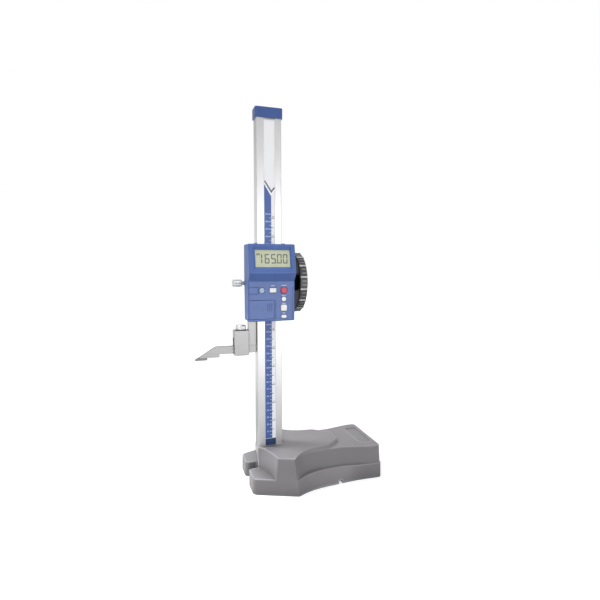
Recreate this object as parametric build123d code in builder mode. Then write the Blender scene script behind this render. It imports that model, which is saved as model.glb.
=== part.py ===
from build123d import *
import os
from math import atan2, ceil, cos, pi, radians, sin, sqrt, tan

# Digital height gauge, 0-300 mm, in millimetres.
# Frame: the table top is Z = 0, the column's middle is the Z axis, +Z is up.
# -X is where the scriber points, +X is the tail of the base, -Y is the side with the display.

os.makedirs("parts", exist_ok=True)

# ---------------------------------------------------------------- driving dimensions

# Column
column_width = 34.7
column_depth = 16.0
column_foot_z = 12.0
column_top_z = 507.0
column_edge = 0.8
column_screw_edge = 8.35
column_screw_radius = 3.0
label_width = 15.0
label_offset = 0.8
label_recess_depth = 1.5
strip_thickness = 0.8
label_thickness = 0.4
label_top_margin = 14.0

# Rack and pinion
gear_module = 1.0
pinion_teeth = 16
pressure_angle = 20.0
addendum = 0.9 * gear_module
dedendum = 1.2 * gear_module
tooth_backlash = 0.16
pinion_length = 7.0
rack_width = 8.0
rack_seat_depth = 4.5
rack_land = 12.0
rack_screw_radius = 1.25

# Base casting
plateau_z = 49.7
tail_plate_z = 46.0
flange_z = 20.8
front_angle = 22.2
block_bottom = (25.0, 65.9)
block_flange = (23.0, 64.4)
block_top = (19.6, 62.9)
nose_x = -31.6
nose_round = 8.0
notch_round = 6.0
wall_bow = 1.8
block_tip_x = -3.8
block_tip_top_x = -1.4
waist_x = 92.0
waist_bottom = 49.3
waist_flange = 41.3
waist_wall = 38.6
waist_top = 36.6
tail_x = 154.0
tail_flare = 14.0
tail_bottom = 47.4
tail_flange = 47.0
tail_wall = 45.8
tail_top = 44.8
tail_set_in = 2.2
tongue_x = 102.5
tongue_slope = 3.8
tail_recess_size = (18.0, 60.0)
tail_recess_depth = 0.8
tail_recess_rim = 6.0
notch_width = 20.0
channel_x = 90.0
channel_width = 5.5
channel_height = 3.6
underside_relief = 3.0
ground_rim = 13.0
flange_round = 1.0
edge_round = 1.2

# Head: all its heights are taken from its underside at rest, its depths from the column
head_bottom_z = 226.5
head_height = 102.1
head_left_wall = 11.0
head_right_wall = 8.0
drive_height = 50.2
slide_clear = 0.25
frame_side = 4.65
frame_front = 6.0
frame_back = 5.0
frame_inset = 11.5
front_plate_thickness = 3.5
plate_side_gap = 5.3
plate_end_gap = 3.8
gib_thickness = 1.8
drive_block_half = 14.0
drive_block_back = 11.0
head_top_margin = 52.4

# Front housing
panel_depth = 14.0
display_top_out = 0.5
display_bottom_out = 9.0
display_bottom_height = 63.8
display_foot_height = 53.2
housing_wall = 2.0
housing_round = 1.6
back_lip = 2.0
bezel_size = (51.4, 31.6)
bezel_x = -1.5
bezel_down = 19.0
glass_size = (47.2, 23.3)
glass_x = -0.7
bezel_depth = 2.2
lcd_size = (53.0, 29.0)
window_thickness = 1.0
lcd_thickness = 2.4
lcd_gap = 0.1

# Rear cover
cover_flush = 15.0
cover_taper_left = 6.0
cover_taper_right = 2.5
cover_wall = 2.0
cover_gap = 0.4
cover_round = 8.0
collar_height = 1.5
collar_edge = 3.65
collar_depth = 34.0
collar_round = 3.0

# Electronics behind the keys
board_depth = 5.6
board_thickness = 1.6
mat_thickness = 2.9
cell_diameter = 20.0
cell_thickness = 3.2
cell_x = -15.0
cell_height = 16.0
cell_gap = 0.3
sensor_thickness = 1.6
sensor_window = (18.0, 60.0)

# Keys and doors
key_travel = 0.8
key_stand = key_travel + 0.1
key_flange = 1.0
key_clear = 0.3
reveal_width = 0.45
reveal_depth = 0.5
seam_inset = 3.6
seam_width = 0.5
seam_height = 44.4
door_right = 1.1
door_height = 24.4
door_lift = 3.5
door_lip = 1.0
door_clear = 0.2
port_right = -20.4
port_height = 8.4
port_lift = 36.9

# Handwheel and shaft
wheel_radius = 42.6
wheel_gap = 9.2
wheel_width = 10.7
wheel_ridges = 16
rim_wall = 5.0
web_thickness = 3.0
hub_radius = 11.0
shaft_radius = 4.0
shaft_clear = 0.04
bush_radius = 6.5
bush_length = 10.0
boss_radius = 10.0
boss_length = 7.6

# Lock screw
lock_knob_radius = 4.9
lock_knob_length = 13.1
lock_knob_gap = 3.6
lock_shank_radius = 2.5
lock_pad_length = 2.0

# Arm, clamp and scriber: places along X are taken from the left face of the arm
tip_z = 174.3
arm_gap = 0.75
arm_width = 10.7
arm_thickness = 8.0
jaw_rise = 17.2
jaw_height = 11.0
jaw_length = 18.5
shank_height = 10.0
bend_out = 44.7
heel_out = 39.4
heel_rise = 3.1
tip_out = 71.5
tip_nose = 0.4
blade_bevel = 1.5
carbide_length = 16.0
clamp_length = 20.0
clamp_depth = 17.4
clamp_drop = 2.6
clamp_rise = 10.5
clamp_clear = 0.15
clamp_knob_radius = 7.2
clamp_knob_height = 6.7
clamp_shank_radius = 2.5

# Cap
cap_wall = 1.5
cap_skirt = 11.2
cap_crown = 2.9

# Fits
fit_clear = 0.05
pass_clear = 0.6

# ---------------------------------------------------------------- derived places

column_left = -column_width / 2
column_right = column_width / 2
column_front = -column_depth / 2
column_back = column_depth / 2
column_screw_x = column_right - column_screw_edge
cap_skirt_z = column_top_z - cap_skirt
cap_top_z = column_top_z + cap_crown
tail_top_x = tail_x - tail_set_in

head_top_z = head_bottom_z + head_height
wheel_z = head_bottom_z + drive_height
travel_down = tip_z
travel_up = column_top_z - head_top_z - head_top_margin

pitch = pi * gear_module
pinion_radius = gear_module * pinion_teeth / 2
shaft_y = column_back + pinion_radius
rack_teeth_below = ceil(travel_down / pitch) + 2
rack_teeth_above = ceil(travel_up / pitch) + 2
rack_back_y = column_back - rack_seat_depth
rack_bottom_z = wheel_z - (rack_teeth_below + 0.5) * pitch - rack_land
rack_top_z = wheel_z + (rack_teeth_above + 0.5) * pitch + rack_land
rack_screw_z = (rack_bottom_z + rack_land / 2, rack_top_z - rack_land / 2)
rack_land_y = column_back - dedendum
shaft_axis = Axis((0, shaft_y, wheel_z), (1, 0, 0))
drive_plane = Plane(origin=(0, shaft_y, wheel_z), x_dir=(0, 1, 0), z_dir=(1, 0, 0))

slot_half_width = column_right + slide_clear
slot_half_depth = column_back + slide_clear
frame_half_width = column_right + frame_side
frame_front_y = column_front - frame_front
frame_back_y = column_back + frame_back
frame_bottom_z = head_bottom_z + frame_inset
frame_top_z = head_top_z - frame_inset
drive_block_y = shaft_y + drive_block_back
head_left = -frame_half_width - head_left_wall
head_right = frame_half_width + head_right_wall
cover_back_y = drive_block_y + cover_gap + cover_wall
boss_end_x = frame_half_width + boss_length

panel_y = frame_front_y - panel_depth
panel_inner_y = panel_y + housing_wall
display_top_y = panel_y - display_top_out
display_foot_z = head_bottom_z + display_foot_height
display_bottom = (panel_y - display_bottom_out, head_bottom_z + display_bottom_height)
board_y = frame_front_y - board_depth
board_front_y = board_y - board_thickness
panel_plane = Plane.XZ.offset(-panel_y)
inner_panel_plane = Plane.XZ.offset(-panel_inner_y)
board_front_plane = Plane.XZ.offset(-board_front_y)

arm_half = arm_thickness / 2
arm_right = column_left - arm_gap
arm_left = arm_right - arm_width
arm_neck_left = arm_left + 1.1
arm_shoulder_z = head_bottom_z - 0.5
jaw_bottom_z = tip_z + jaw_rise
jaw_top_z = jaw_bottom_z + jaw_height
jaw_end_x = arm_left - jaw_length

# ---------------------------------------------------------------- base casting


def front_line(corner, x):
    """Half width of the slanted front edge at x, for a block corner (x, half width)."""
    return corner[1] - (corner[0] - x) * tan(radians(front_angle))


def half_plan(z, lead, flank, end, rounds, bow=0.0):
    """One half of a level of the casting: lead with a bowed wall, curved flank, straight end."""
    with BuildSketch(Plane.XY.offset(z)) as plan:
        with BuildLine():
            if bow:
                Polyline(*lead[:-2])
                SagittaArc(lead[-3], lead[-2], bow)
                Line(lead[-2], lead[-1])
            else:
                Polyline(*lead)
            start = lead[-1]
            for points, tangents in flank:
                Spline(start, *points, tangents=tangents)
                start = points[-1]
            for point in end:
                Line(start, point)
                start = point
            Line(start, lead[0])
        make_face()
        for corner, radius in rounds:
            fillet(plan.vertices().sort_by_distance((corner[0], corner[1], z))[0], radius)
    return plan.sketch.face()


def lower_level(z, block, waist, tail):
    """The ears and flange, with a notch between the ears for the arm, clamp and scriber."""
    notch_corner = (nose_x, notch_half)
    ear = (nose_x, front_line(block, nose_x))
    shoulder = (block[0] + 0.24 * (waist_x - block[0]), waist + 0.52 * (block[1] - waist))
    flare = (tail_x - tail_flare, tail)
    corner = (tail_x, tail)
    return half_plan(
        z,
        [(column_left, 0), (column_left, notch_half), notch_corner, ear, block],
        [([shoulder, (waist_x, waist), flare], [(0.85, -0.53), (1, 0.05)])],
        [corner, (tail_x, 0)],
        [(notch_corner, notch_round), (ear, nose_round), (block, 2.5), (corner, 6.0)],
    )


def upper_lead(block, knee, tip_x):
    """Left wall and front edge of the block that stands on the ears."""
    return [(column_left, 0), (column_left, notch_half + 0.5), knee, (tip_x, front_line(block, tip_x)), block]


def upper_level(z, lead, block, waist, tail, right):
    """The block and tail above the flange, with a waist between them."""
    shoulder = (block[0] + 12.0, waist + 0.48 * (block[1] - waist))
    neck = (block[0] + 44.0, waist + 1.0)
    flare = (tail_x - tail_flare, tail)
    return half_plan(
        z,
        lead,
        [
            ([shoulder, neck], [(0.6, -0.8), (1, -0.06)]),
            ([(waist_x + 6.0, waist), flare], [(1, -0.06), (1, 0.12)]),
        ],
        [(right, tail), (right, 0)],
        [(lead[3], 3.0), (block, 2.5), ((right, tail), 5.0)],
        -wall_bow,
    )


def tongue_level(z, lead, block, neck_half, end_x, waist):
    """The raised tongue of the block's top, which ends in a round nose on the tail."""
    shoulder = (block[0] + 12.0, waist + 0.48 * (block[1] - waist) - (waist + 1.0 - neck_half) * 0.4)
    neck = (block[0] + 44.0, neck_half)
    nose = [(end_x - 20.8, neck_half * 0.91), (end_x - 12.5, neck_half * 0.70), (end_x, 0)]
    return half_plan(
        z,
        lead,
        [
            ([shoulder, neck], [(0.6, -0.8), (1, -0.06)]),
            (nose, [(1, -0.06), (0, -1)]),
        ],
        [],
        [(lead[3], 3.0), (block, 2.5)],
        -wall_bow,
    )


notch_half = notch_width / 2
flange_lead = upper_lead(block_flange, (-16.4, 14.0), block_tip_x)
top_lead = upper_lead(block_top, (-12.7, 16.2), block_tip_top_x)
tongue_half = waist_top + 1.0

with BuildPart() as casting_block:
    loft(
        [
            upper_level(flange_z - flange_round, flange_lead, block_flange, waist_wall, tail_wall, tail_top_x + 0.8),
            upper_level(tail_plate_z, top_lead, block_top, waist_top, tail_top, tail_top_x),
        ],
        ruled=True,
    )
    loft(
        [
            tongue_level(tail_plate_z, top_lead, block_top, tongue_half, tongue_x, waist_top),
            tongue_level(
                plateau_z, top_lead, block_top, tongue_half - tongue_slope, tongue_x - tongue_slope, waist_top
            ),
        ],
        ruled=True,
    )
    mirror(about=Plane.XZ)
    tail_rim = casting_block.edges().filter_by(lambda e: abs(e.center().Z - tail_plate_z) < 0.01)
    fillet(tail_rim.filter_by(lambda e: e.center().X > tongue_x), edge_round)

with BuildPart() as base_casting:
    loft(
        [
            lower_level(0, block_bottom, waist_bottom, tail_bottom),
            lower_level(flange_z, block_flange, waist_flange, tail_flange),
        ],
        ruled=True,
    )
    mirror(about=Plane.XZ)
    # round the rim of the ears and the flange, then set the block on them
    fillet(base_casting.faces().sort_by(Axis.Z)[-1].outer_wire().edges(), flange_round)
    add(casting_block.part)
    # round the rim of the plateau
    fillet(base_casting.faces().sort_by(Axis.Z)[-1].outer_wire().edges(), edge_round)
    # shallow recess in the top of the tail
    with BuildSketch(Plane.XY.offset(tail_plate_z)):
        with Locations((tail_top_x - tail_recess_rim, 0)):
            RectangleRounded(*tail_recess_size, 5, align=(Align.MAX, Align.CENTER))
    extrude(amount=-tail_recess_depth, mode=Mode.SUBTRACT)
    # seat of the column
    with BuildSketch(Plane.XY.offset(column_foot_z)):
        Rectangle(column_width, column_depth)
    extrude(amount=plateau_z, mode=Mode.SUBTRACT)
    # ground underside: a relief in the block and one in the tail, with a channel across between them
    with BuildSketch(Plane.XY):
        relief_left = column_right + 12.0
        relief_middle = channel_x - 10.0
        with Locations(((relief_left + relief_middle) / 2, 0)):
            RectangleRounded(relief_middle - relief_left, 2 * (waist_bottom - ground_rim), 6)
        tail_left = channel_x + 12.0
        tail_right = tail_x - ground_rim
        with Locations(((tail_left + tail_right) / 2, 0)):
            RectangleRounded(tail_right - tail_left, 2 * (tail_bottom - ground_rim), 6)
    extrude(amount=underside_relief, mode=Mode.SUBTRACT)
    with BuildSketch(Plane.XY):
        with Locations((channel_x, 0)):
            Rectangle(channel_width, 3 * tail_bottom)
    extrude(amount=channel_height, mode=Mode.SUBTRACT)
    with Locations(Plane.XY.rotated((180, 0, 0))):
        with Locations((-column_screw_x, 0), (column_screw_x, 0)):
            CounterBoreHole(column_screw_radius + 0.3, 5.6, 6.6, depth=column_foot_z + 1)
base_casting.part.label = "base_casting"
export_step(base_casting.part, "parts/base_casting.step")

# ---------------------------------------------------------------- column and what it carries

with BuildPart() as column:
    with BuildSketch(Plane.XY.offset(column_foot_z)):
        Rectangle(column_width, column_depth)
    extrude(amount=column_top_z - column_foot_z)
    chamfer(column.edges().filter_by(Axis.Z), column_edge)
    # recess for the scale, open at the top and running down into the base
    with BuildSketch(Plane.XZ.offset(-column_front)):
        with Locations((label_offset, plateau_z)):
            Rectangle(label_width, column_top_z, align=(Align.CENTER, Align.MIN))
    extrude(amount=-label_recess_depth, mode=Mode.SUBTRACT)
    # groove for the rack
    with BuildSketch(Plane.XY.offset(rack_bottom_z)):
        with Locations((0, rack_back_y)):
            Rectangle(rack_width, column_depth, align=(Align.CENTER, Align.MIN))
    extrude(amount=rack_top_z - rack_bottom_z, mode=Mode.SUBTRACT)
    with Locations(Plane.XY.offset(column_foot_z).rotated((180, 0, 0))):
        with Locations((-column_screw_x, 0), (column_screw_x, 0)):
            Hole(column_screw_radius, depth=16)
    with Locations(*[Plane(origin=(0, rack_back_y, z), z_dir=(0, 1, 0)) for z in rack_screw_z]):
        Hole(rack_screw_radius, depth=5)
column.part.label = "column"
export_step(column.part, "parts/column.step")

with BuildPart() as column_fixing_screws:
    with Locations((-column_screw_x, 0, 6.6), (column_screw_x, 0, 6.6)):
        Cylinder(5.0, 6.0, align=(Align.CENTER, Align.CENTER, Align.MAX))
        Cylinder(column_screw_radius, column_foot_z - 6.6 + 15, align=(Align.CENTER, Align.CENTER, Align.MIN))
    with Locations((-column_screw_x, 0, 0.6), (column_screw_x, 0, 0.6)):
        with BuildSketch():
            RegularPolygon(2.9, 6)
    extrude(amount=3.0, mode=Mode.SUBTRACT)
column_fixing_screws.part.label = "column_fixing_screws"
export_step(column_fixing_screws.part, "parts/column_fixing_screws.step")

label_back = column_front + label_recess_depth
label_length = column_top_z - label_top_margin - plateau_z
with BuildPart() as capacitive_strip:
    with BuildSketch(Plane.XZ.offset(-label_back)):
        with Locations((label_offset, plateau_z + 0.3)):
            Rectangle(label_width - 0.2, label_length, align=(Align.CENTER, Align.MIN))
    extrude(amount=strip_thickness)
capacitive_strip.part.label = "capacitive_strip"
export_step(capacitive_strip.part, "parts/capacitive_strip.step")

with BuildPart() as scale_label:
    with BuildSketch(Plane.XZ.offset(-label_back + strip_thickness)):
        with Locations((label_offset, plateau_z + 0.3)):
            Rectangle(label_width - 0.2, label_length, align=(Align.CENTER, Align.MIN))
    extrude(amount=label_thickness)
scale_label.part.label = "scale_label"
export_step(scale_label.part, "parts/scale_label.step")


def rack_profile():
    """Outline of the rack in (Y, Z): a flat back and straight-flanked teeth towards +Y."""
    pitch_half = pitch / 4 - tooth_backlash / 4
    lean = tan(radians(pressure_angle))
    root_half = pitch_half + dedendum * lean
    tip_half = pitch_half - addendum * lean
    points = [(rack_back_y, rack_bottom_z), (rack_land_y, rack_bottom_z)]
    for tooth in range(-rack_teeth_below, rack_teeth_above + 1):
        middle = wheel_z + (tooth - 0.5) * pitch
        points += [
            (column_back - dedendum, middle - root_half),
            (column_back + addendum, middle - tip_half),
            (column_back + addendum, middle + tip_half),
            (column_back - dedendum, middle + root_half),
        ]
    return points + [(rack_land_y, rack_top_z), (rack_back_y, rack_top_z)]


with BuildPart() as gear_rack:
    with BuildSketch(Plane.YZ.offset(-rack_width / 2)):
        with BuildLine():
            Polyline(*rack_profile(), close=True)
        make_face()
    extrude(amount=rack_width)
    with Locations(*[Plane(origin=(0, rack_land_y, z), z_dir=(0, 1, 0)) for z in rack_screw_z]):
        CounterSinkHole(rack_screw_radius, 2.4, depth=rack_land_y - rack_back_y)
gear_rack.part.label = "gear_rack"
export_step(gear_rack.part, "parts/gear_rack.step")

with BuildPart() as rack_screws:
    for z in rack_screw_z:
        with BuildSketch(Plane(origin=(0, 0, z), x_dir=(1, 0, 0), z_dir=(0, 0, 1))):
            with BuildLine():
                Polyline(
                    (0, rack_back_y - 4.5),
                    (rack_screw_radius, rack_back_y - 4.5),
                    (rack_screw_radius, rack_land_y - 2.4 + rack_screw_radius),
                    (2.3, rack_land_y - 0.1),
                    (0, rack_land_y - 0.1),
                    close=True,
                )
            make_face()
        revolve(axis=Axis((0, 0, z), (0, 1, 0)))
rack_screws.part.label = "rack_screws"
export_step(rack_screws.part, "parts/rack_screws.step")

with BuildPart() as column_cap:
    with BuildSketch(Plane.XY.offset(cap_skirt_z)):
        Rectangle(column_width + 2 * cap_wall, column_depth + 2 * cap_wall)
    extrude(amount=cap_top_z - cap_skirt_z)
    fillet(column_cap.edges().filter_by(Axis.Z), 2.0)
    fillet(column_cap.faces().sort_by(Axis.Z)[-1].edges(), 1.4)
    with BuildSketch(Plane.XY.offset(cap_skirt_z)):
        Rectangle(column_width + 2 * fit_clear, column_depth + 2 * fit_clear)
    extrude(amount=column_top_z - cap_skirt_z + fit_clear, mode=Mode.SUBTRACT)
column_cap.part.label = "column_cap"
export_step(column_cap.part, "parts/column_cap.step")

# ---------------------------------------------------------------- slider frame, gib, lock and sensor

gib_left = slot_half_width
gib_right = gib_left + gib_thickness
plate_left = head_left + plate_side_gap
plate_right = head_right - plate_side_gap
plate_bottom_z = head_bottom_z + plate_end_gap
plate_top_z = head_top_z - plate_end_gap
plate_back_y = frame_front_y + front_plate_thickness
post_left_x = plate_left + 3.7
post_right_x = plate_right - 2.7
housing_screw_places = [
    (x, z) for x in (post_left_x, post_right_x) for z in (plate_bottom_z + 2.8, plate_top_z - 2.8)
]
cover_screw_places = [(x, wheel_z + dz) for x in (-15.0, 15.0) for dz in (-9.6, 9.6)]
jaw_screw_z = (frame_bottom_z + 5, frame_bottom_z + 17)
gib_screw_z = (frame_bottom_z + 12, frame_top_z - 12)
board_post_places = [
    (post_left_x, head_bottom_z + 34.5),
    (6.0, head_bottom_z + 13.5),
    (post_right_x, head_bottom_z + 29.5),
]

with BuildPart() as slider_frame:
    with BuildSketch(Plane.XY.offset(frame_bottom_z)):
        with Locations((0, frame_front_y)):
            Rectangle(
                2 * frame_half_width, frame_back_y - frame_front_y, align=(Align.CENTER, Align.MIN)
            )
    extrude(amount=frame_top_z - frame_bottom_z)
    # plate that carries the display housing
    with BuildSketch(Plane.XZ.offset(-plate_back_y)):
        with Locations(((plate_left + plate_right) / 2, (plate_bottom_z + plate_top_z) / 2)):
            Rectangle(plate_right - plate_left, plate_top_z - plate_bottom_z)
    extrude(amount=front_plate_thickness)
    # drive block behind the column
    with BuildSketch(Plane.YZ.offset(-frame_half_width)):
        with Locations((frame_back_y, wheel_z)):
            Rectangle(drive_block_y - frame_back_y, 2 * drive_block_half, align=(Align.MIN, Align.CENTER))
    extrude(amount=2 * frame_half_width)
    back_edges = slider_frame.edges().filter_by(Axis.Z).group_by(Axis.Y)[-1]
    chamfer(back_edges, 2.0)
    with BuildSketch(drive_plane.offset(frame_half_width - 1)):
        Circle(boss_radius)
    extrude(amount=boss_end_x - frame_half_width + 1)
    # posts for the circuit board
    with BuildSketch(Plane.XZ.offset(-plate_back_y)):
        with Locations(*board_post_places):
            Circle(2.5)
    extrude(amount=plate_back_y - board_y)
    # slot for the column, the gib and the rack
    with BuildSketch(Plane.XY.offset(plate_bottom_z)):
        with Locations((-slot_half_width, 0)):
            Rectangle(
                slot_half_width + gib_right, 2 * slot_half_depth, align=(Align.MIN, Align.CENTER)
            )
        Rectangle(rack_width + 2, 2 * (column_back + addendum + 0.6))
    extrude(amount=plate_top_z - plate_bottom_z, mode=Mode.SUBTRACT)
    # pocket for the pinion and one bore for both bushes
    with BuildSketch(drive_plane.offset(-pinion_length / 2 - 0.6)):
        Circle(pinion_radius + gear_module + 0.8)
    extrude(amount=pinion_length + 1.2, mode=Mode.SUBTRACT)
    with BuildSketch(drive_plane.offset(-frame_half_width)):
        Circle(bush_radius)
    extrude(amount=boss_end_x + frame_half_width, mode=Mode.SUBTRACT)
    # window for the sensor
    with BuildSketch(Plane.XZ.offset(-frame_front_y)):
        with Locations((label_offset, wheel_z)):
            Rectangle(*sensor_window)
    extrude(amount=frame_front_y + slot_half_depth - 1, mode=Mode.SUBTRACT)
    # threads for the lock screw, jaw, gib, housing and cover
    with Locations(Plane(origin=(-frame_half_width, 0, wheel_z), z_dir=(-1, 0, 0))):
        Hole(lock_shank_radius + fit_clear, depth=frame_half_width - slot_half_width + 1)
    with Locations(*[Plane(origin=(-frame_half_width, 0, z), z_dir=(-1, 0, 0)) for z in jaw_screw_z]):
        Hole(1.5, depth=frame_half_width - slot_half_width + 1)
    with Locations(*[Plane(origin=(frame_half_width, 0, z), z_dir=(1, 0, 0)) for z in gib_screw_z]):
        Hole(1.5, depth=frame_half_width - gib_right + 1)
    with Locations(*[Plane(origin=(x, plate_back_y, z), z_dir=(0, 1, 0)) for x, z in housing_screw_places]):
        Hole(1.35, depth=front_plate_thickness + 1)
    with Locations(*[Plane(origin=(x, drive_block_y, z), z_dir=(0, 1, 0)) for x, z in cover_screw_places]):
        Hole(1.25, depth=6)
    with Locations(*[Plane(origin=(x, board_y, z), z_dir=(0, -1, 0)) for x, z in board_post_places]):
        Hole(1.0, depth=5)
slider_frame.part.label = "slider_frame"
export_step(slider_frame.part, "parts/slider_frame.step")

with BuildPart() as gib_strip:
    with BuildSketch(Plane.XY.offset(frame_bottom_z + 2)):
        with Locations(((gib_left + gib_right) / 2, 0)):
            Rectangle(gib_thickness, column_depth - 1)
    extrude(amount=frame_top_z - frame_bottom_z - 4)
gib_strip.part.label = "gib_strip"
export_step(gib_strip.part, "parts/gib_strip.step")

with BuildPart() as gib_screws:
    for z in gib_screw_z:
        with BuildSketch(Plane(origin=(gib_right, 0, z), x_dir=(0, 1, 0), z_dir=(1, 0, 0))):
            Circle(1.5)
        extrude(amount=frame_half_width - gib_right)
        with BuildSketch(Plane(origin=(frame_half_width, 0, z), x_dir=(0, 1, 0), z_dir=(1, 0, 0))):
            Rectangle(2.4, 0.5)
        extrude(amount=-0.8, mode=Mode.SUBTRACT)
gib_screws.part.label = "gib_screws"
export_step(gib_screws.part, "parts/gib_screws.step")

with BuildPart() as sensor_board:
    with BuildSketch(Plane.XZ.offset(slot_half_depth)):
        with Locations((label_offset, wheel_z)):
            Rectangle(sensor_window[0] - 0.4, sensor_window[1] - 0.4)
    extrude(amount=sensor_thickness)
sensor_board.part.label = "sensor_board"
export_step(sensor_board.part, "parts/sensor_board.step")

lock_plane = Plane(origin=(-slot_half_width, 0, wheel_z), x_dir=(0, 1, 0), z_dir=(-1, 0, 0))
lock_knob_start = lock_knob_gap - head_left - slot_half_width
with BuildPart() as lock_pad:
    with BuildSketch(lock_plane):
        Circle(lock_shank_radius)
    extrude(amount=lock_pad_length)
lock_pad.part.label = "lock_pad"
export_step(lock_pad.part, "parts/lock_pad.step")

with BuildPart() as lock_screw:
    with BuildSketch(lock_plane.offset(lock_pad_length + fit_clear)):
        Circle(lock_shank_radius)
    extrude(amount=lock_knob_start - lock_pad_length)
    with BuildSketch(lock_plane.offset(lock_knob_start)):
        Circle(lock_knob_radius)
    extrude(amount=lock_knob_length)
    chamfer(lock_screw.edges().filter_by(GeomType.CIRCLE).sort_by(Axis.X)[0], 1.0)
    chamfer(
        lock_screw.edges().filter_by(lambda e: e.geom_type == GeomType.CIRCLE and e.radius > 4)
        .sort_by(Axis.X)[-1],
        1.0,
    )
lock_screw.part.label = "lock_screw"
export_step(lock_screw.part, "parts/lock_screw.step")

# ---------------------------------------------------------------- drive: shaft, bushes, handwheel


def pinion_outline():
    """Involute teeth round the origin, one of them centred on local -X."""
    base_radius = pinion_radius * cos(radians(pressure_angle))
    tip_radius = pinion_radius + addendum
    root_radius = pinion_radius - dedendum
    involute = tan(radians(pressure_angle)) - radians(pressure_angle)
    half_tooth = pi / (2 * pinion_teeth) - tooth_backlash / (4 * pinion_radius) + involute

    def flank_point(radius):
        roll = sqrt(max((radius / base_radius) ** 2 - 1, 0))
        return radius, half_tooth - (roll - atan2(roll, 1))

    radii = [base_radius, (base_radius + tip_radius) / 2, tip_radius]
    flank = [(root_radius, half_tooth)] + [flank_point(radius) for radius in radii]
    points = []
    for tooth in range(pinion_teeth):
        middle = pi + 2 * pi * tooth / pinion_teeth
        points += [(r * cos(middle - a), r * sin(middle - a)) for r, a in flank]
        points += [(r * cos(middle + a), r * sin(middle + a)) for r, a in reversed(flank)]
    return points


with BuildPart() as pinion_shaft:
    with BuildSketch(drive_plane.offset(-frame_half_width - 2.4)):
        Circle(shaft_radius)
    extrude(amount=frame_half_width + 2.4 + boss_end_x + 16)
    with BuildSketch(drive_plane.offset(-pinion_length / 2)):
        with BuildLine():
            Polyline(*pinion_outline(), close=True)
        make_face()
    extrude(amount=pinion_length)
    chamfer(pinion_shaft.edges().filter_by(GeomType.CIRCLE).sort_by(Axis.X)[-1], 0.5)
    # groove for the retaining ring
    with BuildSketch(drive_plane.offset(-frame_half_width - 1.0)):
        Circle(shaft_radius + 1)
        Circle(shaft_radius - 0.6, mode=Mode.SUBTRACT)
    extrude(amount=0.9, mode=Mode.SUBTRACT)
    # thread for the wheel screw
    with Locations(drive_plane.offset(boss_end_x + 16)):
        Hole(1.6, depth=10)
pinion_shaft.part.label = "pinion_shaft"
export_step(pinion_shaft.part, "parts/pinion_shaft.step")

with BuildPart() as retaining_ring:
    with BuildSketch(drive_plane.offset(-frame_half_width - 0.95)):
        Circle(shaft_radius + 2.2)
        Circle(shaft_radius - 0.6, mode=Mode.SUBTRACT)
        Rectangle(2 * shaft_radius + 6, 3.0, align=(Align.MIN, Align.CENTER), mode=Mode.SUBTRACT)
    extrude(amount=0.8)
retaining_ring.part.label = "retaining_ring"
export_step(retaining_ring.part, "parts/retaining_ring.step")

with BuildPart() as shaft_bushes:
    for start in (-frame_half_width, boss_end_x - bush_length):
        with BuildSketch(drive_plane.offset(start)):
            Circle(bush_radius)
            Circle(shaft_radius + shaft_clear, mode=Mode.SUBTRACT)
        extrude(amount=bush_length)
shaft_bushes.part.label = "shaft_bushes"
export_step(shaft_bushes.part, "parts/shaft_bushes.step")

wheel_left = boss_end_x + wheel_gap
wheel_right = wheel_left + wheel_width
rim_radius = wheel_radius - 1.1
hub_left = boss_end_x + 0.4
hub_right = boss_end_x + 16.6
web_right = wheel_right - 4.0
ridge_step = 360 / wheel_ridges
with BuildPart() as handwheel:
    with BuildSketch(Plane.XY.offset(wheel_z)):
        with BuildLine():
            Polyline(
                (hub_left, shaft_y + shaft_radius),
                (hub_left, shaft_y + hub_radius),
                (web_right - web_thickness, shaft_y + hub_radius + 2),
                (web_right - web_thickness, shaft_y + rim_radius - rim_wall - 2),
                (wheel_left, shaft_y + rim_radius - rim_wall),
                (wheel_left, shaft_y + rim_radius),
                (wheel_right, shaft_y + rim_radius),
                (wheel_right, shaft_y + rim_radius - rim_wall),
                (web_right, shaft_y + rim_radius - rim_wall - 1),
                (web_right, shaft_y + hub_radius + 1),
                (hub_right, shaft_y + hub_radius - 1),
                (hub_right, shaft_y + shaft_radius),
                close=True,
            )
        make_face()
    revolve(axis=shaft_axis)
    chamfer(
        handwheel.edges().filter_by(lambda e: e.geom_type == GeomType.CIRCLE and e.radius > rim_radius - 1),
        1.0,
    )
    # grip: full ridges with two shorter ribs between each pair
    with BuildSketch(drive_plane.offset(wheel_left + 0.5)):
        with PolarLocations(rim_radius - 0.5, wheel_ridges, start_angle=ridge_step / 2):
            Rectangle(1.1 + 0.5, 2.2, align=(Align.MIN, Align.CENTER))
    extrude(amount=wheel_width - 1.0)
    with BuildSketch(drive_plane.offset(wheel_left + 3.0)):
        for share in (1 / 6, 5 / 6):
            with PolarLocations(rim_radius - 0.5, wheel_ridges, start_angle=share * ridge_step):
                Rectangle(0.6 + 0.5, 1.4, align=(Align.MIN, Align.CENTER))
    extrude(amount=wheel_width - 4.2)
handwheel.part.label = "handwheel"
export_step(handwheel.part, "parts/handwheel.step")

with BuildPart() as wheel_screw:
    with BuildSketch(drive_plane.offset(hub_right)):
        Circle(6.0)
    extrude(amount=0.8)
    with BuildSketch(drive_plane.offset(hub_right + 0.8)):
        Circle(3.5)
    extrude(amount=2.2)
    with BuildSketch(drive_plane.offset(hub_right + 3.0)):
        RegularPolygon(1.7, 6)
    extrude(amount=-1.5, mode=Mode.SUBTRACT)
    with BuildSketch(drive_plane.offset(hub_right)):
        Circle(1.6)
    extrude(amount=-9.0)
wheel_screw.part.label = "wheel_screw"
export_step(wheel_screw.part, "parts/wheel_screw.step")

# ---------------------------------------------------------------- front housing

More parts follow.
